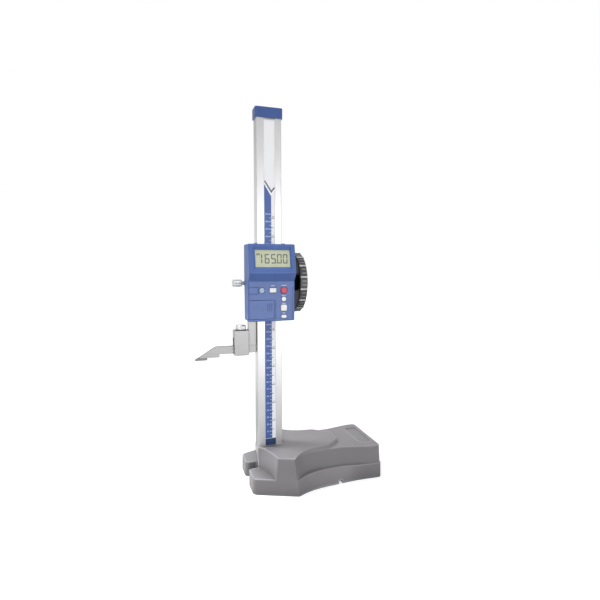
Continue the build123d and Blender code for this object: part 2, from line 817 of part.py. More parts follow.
display_slope = Vector(0, display_bottom[0] - display_top_y, display_bottom[1] - head_top_z).normalized()
display_face = Plane(
    origin=(0, display_top_y, head_top_z),
    x_dir=(1, 0, 0),
    z_dir=(0, display_slope.Z, -display_slope.Y),
)
window_seat = bezel_depth + 1.0
door_bottom_z = head_bottom_z + door_lift
door_top_z = door_bottom_z + door_height
port_bottom_z = head_bottom_z + port_lift
port_top_z = port_bottom_z + port_height

# name: (x, height over the underside, width, height, corner radius)
keys = {
    "preset_key": (-15.1, 41.2, 7.0, 7.0, 3.5),
    "unit_key": (-0.1, 41.2, 9.0, 5.8, 0.8),
    "power_key": (14.9, 41.1, 8.6, 8.6, 4.3),
    "hold_key": (14.8, 29.5, 6.2, 6.2, 3.1),
    "zero_key": (14.8, 17.7, 8.3, 8.1, 1.6),
    "mode_key": (14.8, 6.1, 7.1, 4.4, 2.0),
}


def key_outline(name, grow):
    """Outline of a key at its place on the panel, larger all round by grow."""
    x, rise, width, height, corner = keys[name]
    with Locations((x, head_bottom_z + rise)):
        if 2 * corner < height or 2 * corner < width:
            RectangleRounded(width + 2 * grow, height + 2 * grow, corner + grow)
        else:
            Circle(corner + grow)


side_profile = [
    (frame_front_y, head_bottom_z),
    (panel_y, head_bottom_z),
    (panel_y, display_foot_z),
    display_bottom,
    (display_top_y, head_top_z),
    (frame_front_y, head_top_z),
]

with BuildPart() as front_housing:
    with BuildSketch(Plane.YZ.offset(head_left)):
        with BuildLine():
            Polyline(*side_profile, close=True)
        make_face()
    extrude(amount=head_right - head_left)
    fillet(
        front_housing.edges().filter_by(lambda e: e.center().Y < frame_front_y - 0.1),
        housing_round,
    )
    # hollow, with a lip round the back opening
    with BuildSketch(Plane.YZ.offset(head_left + housing_wall)):
        with BuildLine():
            Polyline(*side_profile, close=True)
        make_face()
        offset(amount=-housing_wall, kind=Kind.INTERSECTION, mode=Mode.REPLACE)
    extrude(amount=head_right - head_left - 2 * housing_wall, mode=Mode.SUBTRACT)
    with BuildSketch(Plane.XZ.offset(-frame_front_y)):
        with Locations(((plate_left + plate_right) / 2, (plate_bottom_z + plate_top_z) / 2)):
            Rectangle(plate_right - plate_left, plate_top_z - plate_bottom_z)
    extrude(amount=back_lip + 1, mode=Mode.SUBTRACT)
    # thicker seat behind the bezel
    with BuildSketch(display_face.offset(-housing_wall)):
        with Locations((bezel_x, -bezel_down)):
            Rectangle(bezel_size[0] + 4, bezel_size[1] + 2)
    extrude(amount=housing_wall - window_seat)
    # bosses for the screws that come through the frame plate
    for x, z in housing_screw_places:
        wall_z = head_bottom_z + 1 if z < wheel_z else head_top_z - 1
        with BuildSketch(Plane.XZ.offset(-frame_front_y)):
            with Locations((x, z)):
                Circle(2.6)
            with Locations((x, (z + wall_z) / 2)):
                Rectangle(2.4, abs(wall_z - z))
        extrude(amount=3.6)
        with Locations(Plane(origin=(x, frame_front_y, z), z_dir=(0, 1, 0))):
            Hole(1.25, depth=3.0)
    # sloping bezel and display opening
    with BuildSketch(display_face):
        with Locations((bezel_x, -bezel_down)):
            Rectangle(*bezel_size)
    with BuildSketch(display_face.offset(-bezel_depth)):
        with Locations((glass_x, -bezel_down)):
            Rectangle(*glass_size)
    loft(ruled=True, mode=Mode.SUBTRACT)
    with BuildSketch(display_face.offset(-bezel_depth + 0.1)):
        with Locations((glass_x, -bezel_down)):
            Rectangle(*glass_size)
    extrude(amount=-3.0, mode=Mode.SUBTRACT)
    # key holes
    with BuildSketch(panel_plane):
        for name in keys:
            key_outline(name, key_clear)
    extrude(amount=-housing_wall - 0.5, mode=Mode.SUBTRACT)
    with BuildSketch(panel_plane):
        for name in keys:
            key_outline(name, key_clear + reveal_width)
    extrude(amount=-reveal_depth, mode=Mode.SUBTRACT)
    # openings of the battery door and the port cover, out through the left wall, with grooves for their lips
    for left, right, bottom, top in (
        (head_left, door_right, door_bottom_z, door_top_z),
        (head_left, port_right, port_bottom_z, port_top_z),
    ):
        with BuildSketch(panel_plane):
            with Locations((left - 1, (bottom + top) / 2)):
                Rectangle(
                    right - left + 1 + door_clear, top - bottom + 2 * door_clear, align=(Align.MIN, Align.CENTER)
                )
        extrude(amount=-housing_wall, mode=Mode.SUBTRACT)
        with BuildSketch(panel_plane):
            with Locations((left - 1, (bottom + top) / 2)):
                Rectangle(
                    right - left + 1 + door_clear + reveal_width,
                    top - bottom + 2 * (door_clear + reveal_width),
                    align=(Align.MIN, Align.CENTER),
                )
        extrude(amount=-reveal_depth, mode=Mode.SUBTRACT)
        with BuildSketch(inner_panel_plane):
            with Locations((left - 1, (bottom + top) / 2)):
                Rectangle(
                    housing_wall + 1.5, top - bottom + 2 * (door_lip + door_clear), align=(Align.MIN, Align.CENTER)
                )
        extrude(amount=-door_lip - door_clear, mode=Mode.SUBTRACT)
    # thumb groove beside the battery door, and the joint line of the right edge
    with BuildSketch(panel_plane):
        with Locations((door_right + 2.4, (door_bottom_z + door_top_z) / 2)):
            SlotOverall(door_height, 1.2, rotation=90)
        with Locations((head_right - seam_inset, head_bottom_z)):
            Rectangle(seam_width, seam_height, align=(Align.CENTER, Align.MIN))
        with Locations((head_right, head_bottom_z + seam_height - seam_width / 2)):
            Rectangle(seam_inset, seam_width, align=(Align.MAX, Align.CENTER))
    extrude(amount=-reveal_depth, mode=Mode.SUBTRACT)
front_housing.part.label = "front_housing"
export_step(front_housing.part, "parts/front_housing.step")

with BuildPart() as housing_screws:
    for x, z in housing_screw_places:
        with BuildSketch(Plane.XZ.offset(-plate_back_y)):
            with Locations((x, z)):
                Circle(2.3)
        extrude(amount=-1.6)
        with BuildSketch(Plane.XZ.offset(-plate_back_y)):
            with Locations((x, z)):
                Circle(1.25)
        extrude(amount=plate_back_y - frame_front_y + 2.9)
housing_screws.part.label = "housing_screws"
export_step(housing_screws.part, "parts/housing_screws.step")

# ---------------------------------------------------------------- rear cover

lock_hole_radius = lock_shank_radius + 0.8
boss_hole_radius = boss_radius + 0.3
cover_flush_y = frame_front_y + cover_flush


def cover_plan(z, inset):
    """Plan of the cover at z: flush with the front housing, then tapered; set in but at the open front."""
    with BuildSketch(Plane.XY.offset(z)) as plan:
        with BuildLine():
            FilletPolyline(
                (head_left + inset, frame_front_y),
                (head_left + inset, cover_flush_y),
                (head_left + cover_taper_left + inset, cover_back_y - inset),
                (head_right - cover_taper_right - inset, cover_back_y - inset),
                (head_right - inset, cover_flush_y),
                (head_right - inset, frame_front_y),
                radius=[cover_round, cover_round - inset, cover_round - inset, cover_round],
            )
            Line((head_right - inset, frame_front_y), (head_left + inset, frame_front_y))
        make_face()
    return plan.sketch.face()


with BuildPart() as rear_cover:
    extrude(cover_plan(head_bottom_z, 0), amount=head_height)
    end_faces = rear_cover.faces().filter_by(Axis.Z)
    fillet(end_faces.edges().filter_by(lambda e: e.center().Y > frame_front_y + 0.1), housing_round)
    # collar round the column
    with BuildSketch(Plane.XY.offset(head_top_z)):
        with Locations((0, frame_front_y)):
            RectangleRounded(
                2 * (column_right + collar_edge), collar_depth, collar_round, align=(Align.CENTER, Align.MIN)
            )
    extrude(amount=collar_height)
    extrude(
        cover_plan(head_bottom_z + cover_wall, cover_wall),
        amount=head_height - 2 * cover_wall,
        mode=Mode.SUBTRACT,
    )
    # slot for the column and its rack, through both ends
    slot_right = column_right + pass_clear
    slot_back_y = column_back + pass_clear
    with BuildSketch(Plane.XY.offset(head_bottom_z)):
        with Locations((0, frame_front_y)):
            Rectangle(2 * slot_right, slot_back_y - frame_front_y, align=(Align.CENTER, Align.MIN))
            Rectangle(
                rack_width + 2 * pass_clear,
                slot_back_y + addendum - frame_front_y,
                align=(Align.CENTER, Align.MIN),
            )
    extrude(amount=head_height + collar_height, mode=Mode.SUBTRACT)
    # slot for the neck of the arm, through the bottom
    neck_slot_left = arm_neck_left - pass_clear
    neck_slot_right = -frame_half_width + pass_clear / 2
    with BuildSketch(Plane.XY.offset(head_bottom_z)):
        with Locations(((neck_slot_left + neck_slot_right) / 2, 0)):
            Rectangle(neck_slot_right - neck_slot_left, arm_thickness + 2 * pass_clear)
    extrude(amount=cover_wall, mode=Mode.SUBTRACT)
    with Locations(Plane(origin=(head_left, 0, wheel_z), z_dir=(-1, 0, 0))):
        Hole(lock_hole_radius, depth=cover_wall + 1)
    with BuildSketch(drive_plane.offset(frame_half_width)):
        Circle(boss_hole_radius)
    extrude(amount=head_right_wall + 1, mode=Mode.SUBTRACT)
    with Locations(*[Plane(origin=(x, cover_back_y, z), z_dir=(0, 1, 0)) for x, z in cover_screw_places]):
        CounterSinkHole(1.4, 2.6, depth=cover_wall + 1)
rear_cover.part.label = "rear_cover"
export_step(rear_cover.part, "parts/rear_cover.step")

with BuildPart() as cover_screws:
    for x, z in cover_screw_places:
        with BuildSketch(Plane(origin=(x, 0, z), x_dir=(1, 0, 0), z_dir=(0, 0, 1))):
            with BuildLine():
                Polyline(
                    (0, drive_block_y - 5.5),
                    (1.25, drive_block_y - 5.5),
                    (1.25, cover_back_y - 2.5 + 1.25),
                    (2.4, cover_back_y - 0.1),
                    (0, cover_back_y - 0.1),
                    close=True,
                )
            make_face()
        revolve(axis=Axis((x, 0, z), (0, 1, 0)))
cover_screws.part.label = "cover_screws"
export_step(cover_screws.part, "parts/cover_screws.step")

# ---------------------------------------------------------------- display and electronics

with BuildPart() as lcd_window:
    with BuildSketch(display_face.offset(-bezel_depth)):
        with Locations((glass_x, -bezel_down)):
            Rectangle(glass_size[0] - 2 * fit_clear, glass_size[1] - 2 * fit_clear)
    extrude(amount=-window_thickness)
lcd_window.part.label = "lcd_window"
export_step(lcd_window.part, "parts/lcd_window.step")

with BuildPart() as lcd_panel:
    with BuildSketch(display_face.offset(-window_seat - lcd_gap)):
        with Locations((glass_x, -bezel_down)):
            Rectangle(*lcd_size)
    extrude(amount=-lcd_thickness)
lcd_panel.part.label = "lcd_panel"
export_step(lcd_panel.part, "parts/lcd_panel.step")

board_left = plate_left + 0.5
board_right = plate_right - 0.5
board_bottom_z = head_bottom_z + housing_wall + 2.0
board_top_z = display_foot_z - housing_wall - 1.5
with BuildPart() as circuit_board:
    with BuildSketch(Plane.XZ.offset(-board_y)):
        with Locations(((board_left + board_right) / 2, (board_bottom_z + board_top_z) / 2)):
            RectangleRounded(board_right - board_left, board_top_z - board_bottom_z, 1.5)
        with Locations(*board_post_places):
            Circle(1.2, mode=Mode.SUBTRACT)
    extrude(amount=board_thickness)
circuit_board.part.label = "circuit_board"
export_step(circuit_board.part, "parts/circuit_board.step")

with BuildPart() as board_screws:
    for x, z in board_post_places:
        with BuildSketch(board_front_plane):
            with Locations((x, z)):
                Circle(1.8)
        extrude(amount=1.2)
        with BuildSketch(board_front_plane):
            with Locations((x, z)):
                Circle(1.0)
        extrude(amount=-board_thickness - 4.5)
board_screws.part.label = "board_screws"
export_step(board_screws.part, "parts/board_screws.step")

mat_left = -20.4
mat_right = 20.8
mat_row_bottom_z = head_bottom_z + 35.5
mat_top_z = head_bottom_z + 47.1
mat_bottom_z = head_bottom_z + 2.7
mat_column_left = 8.9
with BuildPart() as keypad_mat:
    with BuildSketch(board_front_plane):
        with Locations((mat_right, mat_top_z)):
            Rectangle(mat_right - mat_left, mat_top_z - mat_row_bottom_z, align=(Align.MAX, Align.MAX))
            Rectangle(mat_right - mat_column_left, mat_top_z - mat_bottom_z, align=(Align.MAX, Align.MAX))
        with Locations(*board_post_places):
            Circle(2.6, mode=Mode.SUBTRACT)
    extrude(amount=mat_thickness)
keypad_mat.part.label = "keypad_mat"
export_step(keypad_mat.part, "parts/keypad_mat.step")

cell_z = head_bottom_z + cell_height
cell_back_plane = Plane.XZ.offset(-board_front_y + cell_gap)
with BuildPart() as battery_cell:
    with BuildSketch(cell_back_plane):
        with Locations((cell_x, cell_z)):
            Circle(cell_diameter / 2)
    extrude(amount=cell_thickness)
    chamfer(battery_cell.edges().sort_by(Axis.Y)[-1], 0.4)
battery_cell.part.label = "battery_cell"
export_step(battery_cell.part, "parts/battery_cell.step")

with BuildPart() as cell_holder:
    with BuildSketch(board_front_plane):
        with Locations((cell_x, cell_z)):
            Circle(cell_diameter / 2 + 1.5)
            Circle(cell_diameter / 2 + 0.3, mode=Mode.SUBTRACT)
            Rectangle(8, cell_diameter, align=(Align.CENTER, Align.MIN), mode=Mode.SUBTRACT)
    extrude(amount=cell_thickness)
cell_holder.part.label = "cell_holder"
export_step(cell_holder.part, "parts/cell_holder.step")

with BuildPart() as battery_contacts:
    with BuildSketch(board_front_plane):
        with Locations((cell_x, cell_z)):
            Circle(4.0)
    extrude(amount=cell_gap)
    with BuildSketch(board_front_plane):
        with Locations((cell_x, cell_z + cell_diameter / 2 + 0.3)):
            Rectangle(6.0, 0.4, align=(Align.CENTER, Align.MIN))
    extrude(amount=cell_thickness)
battery_contacts.part.label = "battery_contacts"
export_step(battery_contacts.part, "parts/battery_contacts.step")

socket_width = 6.0
socket_height = port_height - 1.8
with BuildPart() as data_port_socket:
    socket_center = (board_left + socket_width / 2, (port_bottom_z + port_top_z) / 2)
    with BuildSketch(board_front_plane):
        with Locations(socket_center):
            Rectangle(socket_width, socket_height)
    extrude(amount=cell_thickness + cell_gap)
    with BuildSketch(Plane.XZ.offset(-board_front_y + cell_thickness + cell_gap)):
        with Locations(socket_center):
            Rectangle(1.8, 4.8)
    extrude(amount=-2.4, mode=Mode.SUBTRACT)
data_port_socket.part.label = "data_port_socket"
export_step(data_port_socket.part, "parts/data_port_socket.step")

# ---------------------------------------------------------------- keys, battery door and port cover

for name in keys:
    with BuildPart() as key:
        with BuildSketch(Plane.XZ.offset(-panel_y + key_stand)):
            key_outline(name, 0)
        extrude(amount=-key_stand - housing_wall)
        chamfer(key.faces().sort_by(Axis.Y)[0].edges(), 0.3)
        with BuildSketch(inner_panel_plane):
            key_outline(name, key_flange)
        extrude(amount=-key_flange)
    key.part.label = name
    export_step(key.part, f"parts/{name}.step")


def sliding_door(right, bottom_z, top_z):
    """Outer plate flush with the panel and round the housing's left edge, and a wider lip behind it."""
    with BuildPart() as door:
        with BuildSketch(panel_plane):
            with Locations((head_left, (bottom_z + top_z) / 2)):
                Rectangle(right - head_left, top_z - bottom_z, align=(Align.MIN, Align.CENTER))
        extrude(amount=-housing_wall)
        fillet(door.edges().filter_by(Axis.Z).sort_by(lambda e: e.center().X + e.center().Y)[0], housing_round)
        with BuildSketch(inner_panel_plane):
            with Locations((head_left + 1.0, (bottom_z + top_z) / 2)):
                Rectangle(
                    right - head_left - 1.0, top_z - bottom_z + 2 * door_lip, align=(Align.MIN, Align.CENTER)
                )
        extrude(amount=-door_lip)
    return door.part


with BuildPart() as battery_door:
    add(sliding_door(door_right, door_bottom_z, door_top_z))
    # finger grip
    with BuildSketch(panel_plane):
        for x in (-7.0, -4.4, -1.8):
            with Locations((x, (door_bottom_z + door_top_z) / 2 + 2.8)):
                SlotOverall(10.0, 0.9, rotation=90)
    extrude(amount=0.5)
battery_door.part.label = "battery_door"
export_step(battery_door.part, "parts/battery_door.step")

with BuildPart() as port_cover:
    add(sliding_door(port_right, port_bottom_z, port_top_z))
port_cover.part.label = "port_cover"
export_step(port_cover.part, "parts/port_cover.step")

# ---------------------------------------------------------------- measuring arm, clamp and scriber

with BuildPart() as measuring_arm:
    with BuildSketch(Plane.XZ.offset(-arm_half)):
        with BuildLine():
            Polyline(
                (jaw_end_x, jaw_bottom_z),
                (arm_right, jaw_bottom_z),
                (arm_right, arm_shoulder_z),
                (-frame_half_width, arm_shoulder_z),
                (-frame_half_width, jaw_screw_z[1] + 7),
                (arm_neck_left, jaw_screw_z[1] + 7),
                (arm_neck_left, arm_shoulder_z),
                (arm_left, arm_shoulder_z),
                (arm_left, jaw_top_z),
                (jaw_end_x, jaw_top_z),
                close=True,
            )
        make_face()
    extrude(amount=arm_thickness)
    with Locations(*[Plane(origin=(arm_neck_left, 0, z), z_dir=(-1, 0, 0)) for z in jaw_screw_z]):
        CounterSinkHole(1.6, 3.1, depth=-frame_half_width - arm_neck_left)
    chamfer(measuring_arm.edges().filter_by(lambda e: e.center().X < jaw_end_x + 0.01), 0.4)
measuring_arm.part.label = "measuring_arm"
export_step(measuring_arm.part, "parts/measuring_arm.step")

with BuildPart() as jaw_screws:
    for z in jaw_screw_z:
        with BuildSketch(Plane.XZ):
            with BuildLine():
                Polyline(
                    (arm_neck_left + 0.2, z),
                    (arm_neck_left + 0.2, z + 2.8),
                    (arm_neck_left + 1.5, z + 1.5),
                    (-slot_half_width - 0.3, z + 1.5),
                    (-slot_half_width - 0.3, z),
                    close=True,
                )
            make_face()
        revolve(axis=Axis((0, 0, z), (1, 0, 0)))
jaw_screws.part.label = "jaw_screws"
export_step(jaw_screws.part, "parts/jaw_screws.step")

shank_bottom_z = jaw_bottom_z - shank_height
clamp_bottom_z = shank_bottom_z - clamp_drop
clamp_top_z = jaw_top_z + clamp_rise
clamp_left = arm_left - clamp_length
clamp_middle = arm_left - clamp_length / 2
window_bottom_z = shank_bottom_z - clamp_clear
window_top_z = jaw_top_z + clamp_clear
with BuildPart() as scriber_clamp:
    with BuildSketch(Plane.YZ.offset(clamp_left)):
        with Locations((0, (clamp_bottom_z + clamp_top_z) / 2)):
            Rectangle(clamp_depth, clamp_top_z - clamp_bottom_z)
    extrude(amount=clamp_length - fit_clear)
    chamfer(scriber_clamp.edges(), 0.5)
    with BuildSketch(Plane.YZ.offset(clamp_left)):
        with Locations((0, (window_bottom_z + window_top_z) / 2)):
            Rectangle(arm_thickness + 2 * clamp_clear, window_top_z - window_bottom_z)
    extrude(amount=clamp_length, mode=Mode.SUBTRACT)
    with Locations(Plane.XY.offset(clamp_top_z)):
        with Locations((clamp_middle, 0)):
            Hole(clamp_shank_radius + fit_clear, depth=clamp_top_z - window_top_z + 1)
scriber_clamp.part.label = "scriber_clamp"
export_step(scriber_clamp.part, "parts/scriber_clamp.step")

with BuildPart() as clamp_screw:
    with BuildSketch(Plane.XY.offset(jaw_top_z + fit_clear)):
        with Locations((clamp_middle, 0)):
            Circle(clamp_shank_radius)
    extrude(amount=clamp_top_z + 1 - jaw_top_z)
    with BuildSketch(Plane.XY.offset(clamp_top_z + 0.3)):
        with Locations((clamp_middle, 0)):
            Circle(clamp_knob_radius)
    extrude(amount=clamp_knob_height)
    rims = clamp_screw.edges().filter_by(lambda e: e.geom_type == GeomType.CIRCLE and e.radius > 7)
    chamfer(rims, 0.8)
clamp_screw.part.label = "clamp_screw"
export_step(clamp_screw.part, "parts/clamp_screw.step")

scriber_right = arm_right - 0.2
bend_x = arm_left - bend_out
heel_x = arm_left - heel_out
heel_z = tip_z + heel_rise
tip_x = arm_left - tip_out
carbide_back_x = tip_x + carbide_length
blade_slope = (jaw_bottom_z - tip_z - tip_nose) / (bend_x - tip_x)
carbide_top_x = tip_x + (heel_rise - tip_nose) / blade_slope
with BuildPart() as scriber:
    with BuildSketch(Plane.XZ.offset(-arm_half)):
        with BuildLine():
            Polyline(
                (scriber_right, shank_bottom_z),
                (scriber_right, jaw_bottom_z),
                (bend_x, jaw_bottom_z),
                (carbide_top_x, heel_z),
                (heel_x, heel_z),
                (heel_x, shank_bottom_z),
                close=True,
            )
        make_face()
    extrude(amount=arm_thickness)
    # bevels along the slanted edge of the blade
    slant = scriber.edges().filter_by(lambda e: carbide_top_x < e.center().X < bend_x and e.center().Z > heel_z)
    chamfer(slant.filter_by(lambda e: abs(e.center().Y) > arm_half - 0.1), blade_bevel)
scriber.part.label = "scriber"
export_step(scriber.part, "parts/scriber.step")

with BuildPart() as carbide_tip:
    with BuildSketch(Plane.XZ.offset(-arm_half)):
        with BuildLine():
            Polyline(
                (carbide_back_x, heel_z),
                (carbide_top_x, heel_z),
                (tip_x, tip_z + tip_nose),
                (tip_x, tip_z),
                (carbide_back_x, tip_z),
                close=True,
            )
        make_face()
    extrude(amount=arm_thickness)
carbide_tip.part.label = "carbide_tip"
export_step(carbide_tip.part, "parts/carbide_tip.step")
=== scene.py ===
from math import cos, pi, radians, sin

import bmesh
import bpy
from mathutils import Matrix, Vector


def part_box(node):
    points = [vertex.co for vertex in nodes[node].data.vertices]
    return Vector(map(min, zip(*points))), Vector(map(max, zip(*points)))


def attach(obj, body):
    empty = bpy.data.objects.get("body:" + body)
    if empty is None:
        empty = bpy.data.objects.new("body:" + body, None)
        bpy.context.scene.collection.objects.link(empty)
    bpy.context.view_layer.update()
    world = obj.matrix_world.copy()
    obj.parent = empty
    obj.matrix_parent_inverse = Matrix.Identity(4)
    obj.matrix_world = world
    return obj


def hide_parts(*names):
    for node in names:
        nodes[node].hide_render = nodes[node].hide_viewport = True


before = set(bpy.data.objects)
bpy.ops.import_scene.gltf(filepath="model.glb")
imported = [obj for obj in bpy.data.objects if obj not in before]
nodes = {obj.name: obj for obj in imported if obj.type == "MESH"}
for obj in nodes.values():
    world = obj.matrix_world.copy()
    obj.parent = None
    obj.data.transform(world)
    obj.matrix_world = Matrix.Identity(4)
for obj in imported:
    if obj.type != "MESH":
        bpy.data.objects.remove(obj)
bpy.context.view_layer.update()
MM = 0.001

# ---------------------------------------------------------------- camera and lamps

# Camera of the 600 x 600 picture: focal length 446.4 pixels, centred, no shift.
# Its place is in mm, its angles are in degrees.
CAMERA_PLACE = (-143.9, -601.05, 298.2)
CAMERA_DOWN = 4.206
CAMERA_RIGHT = 17.553
CAMERA_LENS = 26.79
CAMERA_SENSOR = 36.0
CAMERA_CLIP = 0.01


def add_object(name, data):
    made = bpy.data.objects.new(name, data)
    bpy.context.scene.collection.objects.link(made)
    return made


camera_data = bpy.data.cameras.new("camera")
camera_data.sensor_width = CAMERA_SENSOR
camera_data.lens = CAMERA_LENS
camera_data.clip_start = CAMERA_CLIP
camera = add_object("camera", camera_data)
camera.location = Vector(CAMERA_PLACE) * MM
camera.rotation_euler = (radians(90 - CAMERA_DOWN), 0, radians(-CAMERA_RIGHT))
bpy.context.scene.camera = camera
bpy.context.scene.view_settings.view_transform = "Standard"


def area_lamp(name, place, target, size, power, spread=180):
    """A soft box at place that shines at target, in metres, watts and degrees of beam."""
    data = bpy.data.lights.new(name, "AREA")
    data.shape = "RECTANGLE"
    data.size, data.size_y = size
    data.energy = power
    data.spread = radians(spread)
    lamp = add_object(name, data)
    lamp.location = place
    lamp.rotation_euler = (Vector(target) - Vector(place)).to_track_quat("-Z", "Y").to_euler()
    return lamp


area_lamp("key_lamp", (-0.9, -1.3, 1.6), (0, 0, 0.25), (1.2, 1.2), 7.5)
area_lamp("fill_lamp", (1.5, -0.9, 0.9), (0, 0, 0.2), (1.4, 1.4), 2)
area_lamp("top_lamp", (-0.5, 0.0, 2.0), (0, 0, 0.2), (1.6, 1.6), 12)
area_lamp("back_lamp", (0.5, 1.6, 1.4), (0, 0, 0.2), (1.4, 1.4), 4)
# Narrow box at the left: lights the base's ears and left walls, less and less to the right.
left_box = area_lamp(
    "left_box", (-0.42, 0.16, 0.42), (-0.08, -0.02, 0.0), (0.3, 0.3), 0.36, spread=30
)
left_box.visible_glossy = False
# Upright box opposite the camera's side: its reflection whitens the middle of the column.
area_lamp("front_box", (0.36, -1.5, 0.26), (0, 0, 0.26), (1.0, 0.62), 4.2)

# ---------------------------------------------------------------- node helpers

# Range in which nearly all of a noise texture's values lie.
NOISE_LOW, NOISE_HIGH = 0.3, 0.7


def arithmetic(tree, operation, *values):
    """One step of arithmetic on numbers or outputs of other nodes."""
    made = tree.nodes.new("ShaderNodeMath")
    made.operation = operation
    for socket, value in zip(made.inputs, values):
        if isinstance(value, (int, float)):
            socket.default_value = value
        else:
            tree.links.new(value, socket)
    return made.outputs[0]


def mapped(tree, value, start, end, low, high, kind="LINEAR"):
    """Low where value is at or below start, high where it is at or above end."""
    made = tree.nodes.new("ShaderNodeMapRange")
    made.interpolation_type = kind
    made.inputs["From Min"].default_value = start
    made.inputs["From Max"].default_value = end
    made.inputs["To Min"].default_value = low
    made.inputs["To Max"].default_value = high
    tree.links.new(value, made.inputs["Value"])
    return made.outputs["Result"]


def ramp_between(tree, value, start, end, low, high):
    """Smoothly from low at start to high at end."""
    return mapped(tree, value, start, end, low, high, "SMOOTHSTEP")


def spread(tree, value, low, high):
    """Spreads a noise value over low to high."""
    return mapped(tree, value, NOISE_LOW, NOISE_HIGH, low, high)


def vector_length(tree, vector):
    made = tree.nodes.new("ShaderNodeVectorMath")
    made.operation = "LENGTH"
    tree.links.new(vector, made.inputs[0])
    return made.outputs["Value"]


def ray_kinds(tree, kinds):
    """1 for the given kinds of ray, 0 for all others."""
    path = tree.nodes.new("ShaderNodeLightPath")
    total = path.outputs[kinds[0]]
    for kind in kinds[1:]:
        total = arithmetic(tree, "MAXIMUM", total, path.outputs[kind])
    return total


# ---------------------------------------------------------------- world and floor

CAMERA_RAYS = ("Is Camera Ray",)
MIRROR_RAYS = ("Is Glossy Ray", "Is Transmission Ray")
WORLD_LEVEL = 0.55
# The room that metal and glass show is white at eye level and greyer towards the ceiling:
# heights of the direction, then strengths.
ROOM_RAMP = (0.10, 0.42, 1.0, 0.30)

world = bpy.data.worlds.new("world")
bpy.context.scene.world = world
world.use_nodes = True
tree = world.node_tree
tree.nodes.clear()
direction = tree.nodes.new("ShaderNodeTexCoord")
height = tree.nodes.new("ShaderNodeSeparateXYZ")
tree.links.new(direction.outputs["Generated"], height.inputs[0])
room = ramp_between(tree, height.outputs["Z"], *ROOM_RAMP)
mirrored_room = arithmetic(tree, "MULTIPLY", ray_kinds(tree, MIRROR_RAYS), room)
strength = arithmetic(tree, "MAXIMUM", mirrored_room, ray_kinds(tree, CAMERA_RAYS))
strength = arithmetic(tree, "MAXIMUM", strength, WORLD_LEVEL)
sky = tree.nodes.new("ShaderNodeBackground")
sky.inputs["Color"].default_value = (1, 1, 1, 1)
world_out = tree.nodes.new("ShaderNodeOutputWorld")
tree.links.new(strength, sky.inputs["Strength"])
tree.links.new(sky.outputs[0], world_out.inputs["Surface"])

# Half the floor's side, and how far it lies below the object, in metres.
FLOOR_HALF = 6.0
FLOOR_DROP = 0.0002
FLOOR_COLOUR = (0.55, 0.55, 0.55, 1)
FLOOR_ROUGHNESS = 0.9
# The floor glows less near the object: distances in metres, then strengths, as the camera sees
# it and as metal and glass show it.
SEEN_GLOW = (0.3, 1.6, 0.60, 1.0)
MIRRORED_GLOW = (0.15, 0.8, 0.0, 0.72)

floor_mesh = bpy.data.meshes.new("floor")
floor_corners = [(-1, -1), (1, -1), (1, 1), (-1, 1)]
floor_mesh.from_pydata(
    [(x * FLOOR_HALF, y * FLOOR_HALF, 0) for x, y in floor_corners], [], [(0, 1, 2, 3)]
)
floor = add_object("floor", floor_mesh)
floor.location.z = -FLOOR_DROP
floor_material = bpy.data.materials.new("floor")
floor_material.use_nodes = True
tree = floor_material.node_tree
shader = tree.nodes["Principled BSDF"]
shader.inputs["Base Color"].default_value = FLOOR_COLOUR
shader.inputs["Roughness"].default_value = FLOOR_ROUGHNESS
shader.inputs["Specular IOR Level"].default_value = 0.0
shader.inputs["Emission Color"].default_value = (1, 1, 1, 1)
floor_spot = tree.nodes.new("ShaderNodeTexCoord")
distance = vector_length(tree, floor_spot.outputs["Object"])
seen_part = arithmetic(
    tree, "MULTIPLY", ray_kinds(tree, CAMERA_RAYS), ramp_between(tree, distance, *SEEN_GLOW)
)
mirrored_part = arithmetic(
    tree, "MULTIPLY", ray_kinds(tree, MIRROR_RAYS), ramp_between(tree, distance, *MIRRORED_GLOW)
)
glow = arithmetic(tree, "ADD", seen_part, mirrored_part)
tree.links.new(glow, shader.inputs["Emission Strength"])
floor_mesh.materials.append(floor_material)

# ---------------------------------------------------------------- materials

BEVEL_SAMPLES = 6
OCCLUSION_SAMPLES = 8
# How far the roughness of plastic drifts either way.
PLASTIC_DRIFT = 0.06
# Depths of the relief in metres.
GRAIN_DEPTH = 0.00005
METAL_DEPTH = 0.00004
ENAMEL_DEPTH = 0.00025
WINDOW_DEPTH = 0.0001
# Shares of two noises that make one tone.
MAIN_SHARE, LESSER_SHARE = 0.6, 0.4


def new_material(name):
    made = bpy.data.materials.new(name)
    made.use_nodes = True
    return made, made.node_tree, made.node_tree.nodes["Principled BSDF"]


def coordinates(tree, stretch=(1, 1, 1)):
    """Object coordinates, drawn out along an axis by a small number in stretch."""
    place = tree.nodes.new("ShaderNodeTexCoord")
    mapping = tree.nodes.new("ShaderNodeMapping")
    mapping.inputs["Scale"].default_value = stretch
    tree.links.new(place.outputs["Object"], mapping.inputs["Vector"])
    return mapping.outputs["Vector"]


def noise(tree, vector, scale, detail=3.0, rough=0.55):
    made = tree.nodes.new("ShaderNodeTexNoise")
    made.inputs["Scale"].default_value = scale
    made.inputs["Detail"].default_value = detail
    made.inputs["Roughness"].default_value = rough
    tree.links.new(vector, made.inputs["Vector"])
    return made.outputs["Fac"]


def tint(tree, value, dark, light):
    """A colour between dark and light, which are colours or outputs of other nodes."""
    made = tree.nodes.new("ShaderNodeMix")
    made.data_type = "RGBA"
    for side, colour in (("A", dark), ("B", light)):
        if isinstance(colour, tuple):
            made.inputs[side].default_value = (*colour, 1)
        else:
            tree.links.new(colour, made.inputs[side])
    tree.links.new(value, made.inputs["Factor"])
    return made.outputs["Result"]


def shade(colour, factor):
    return tuple(min(1.0, c * factor) for c in colour)


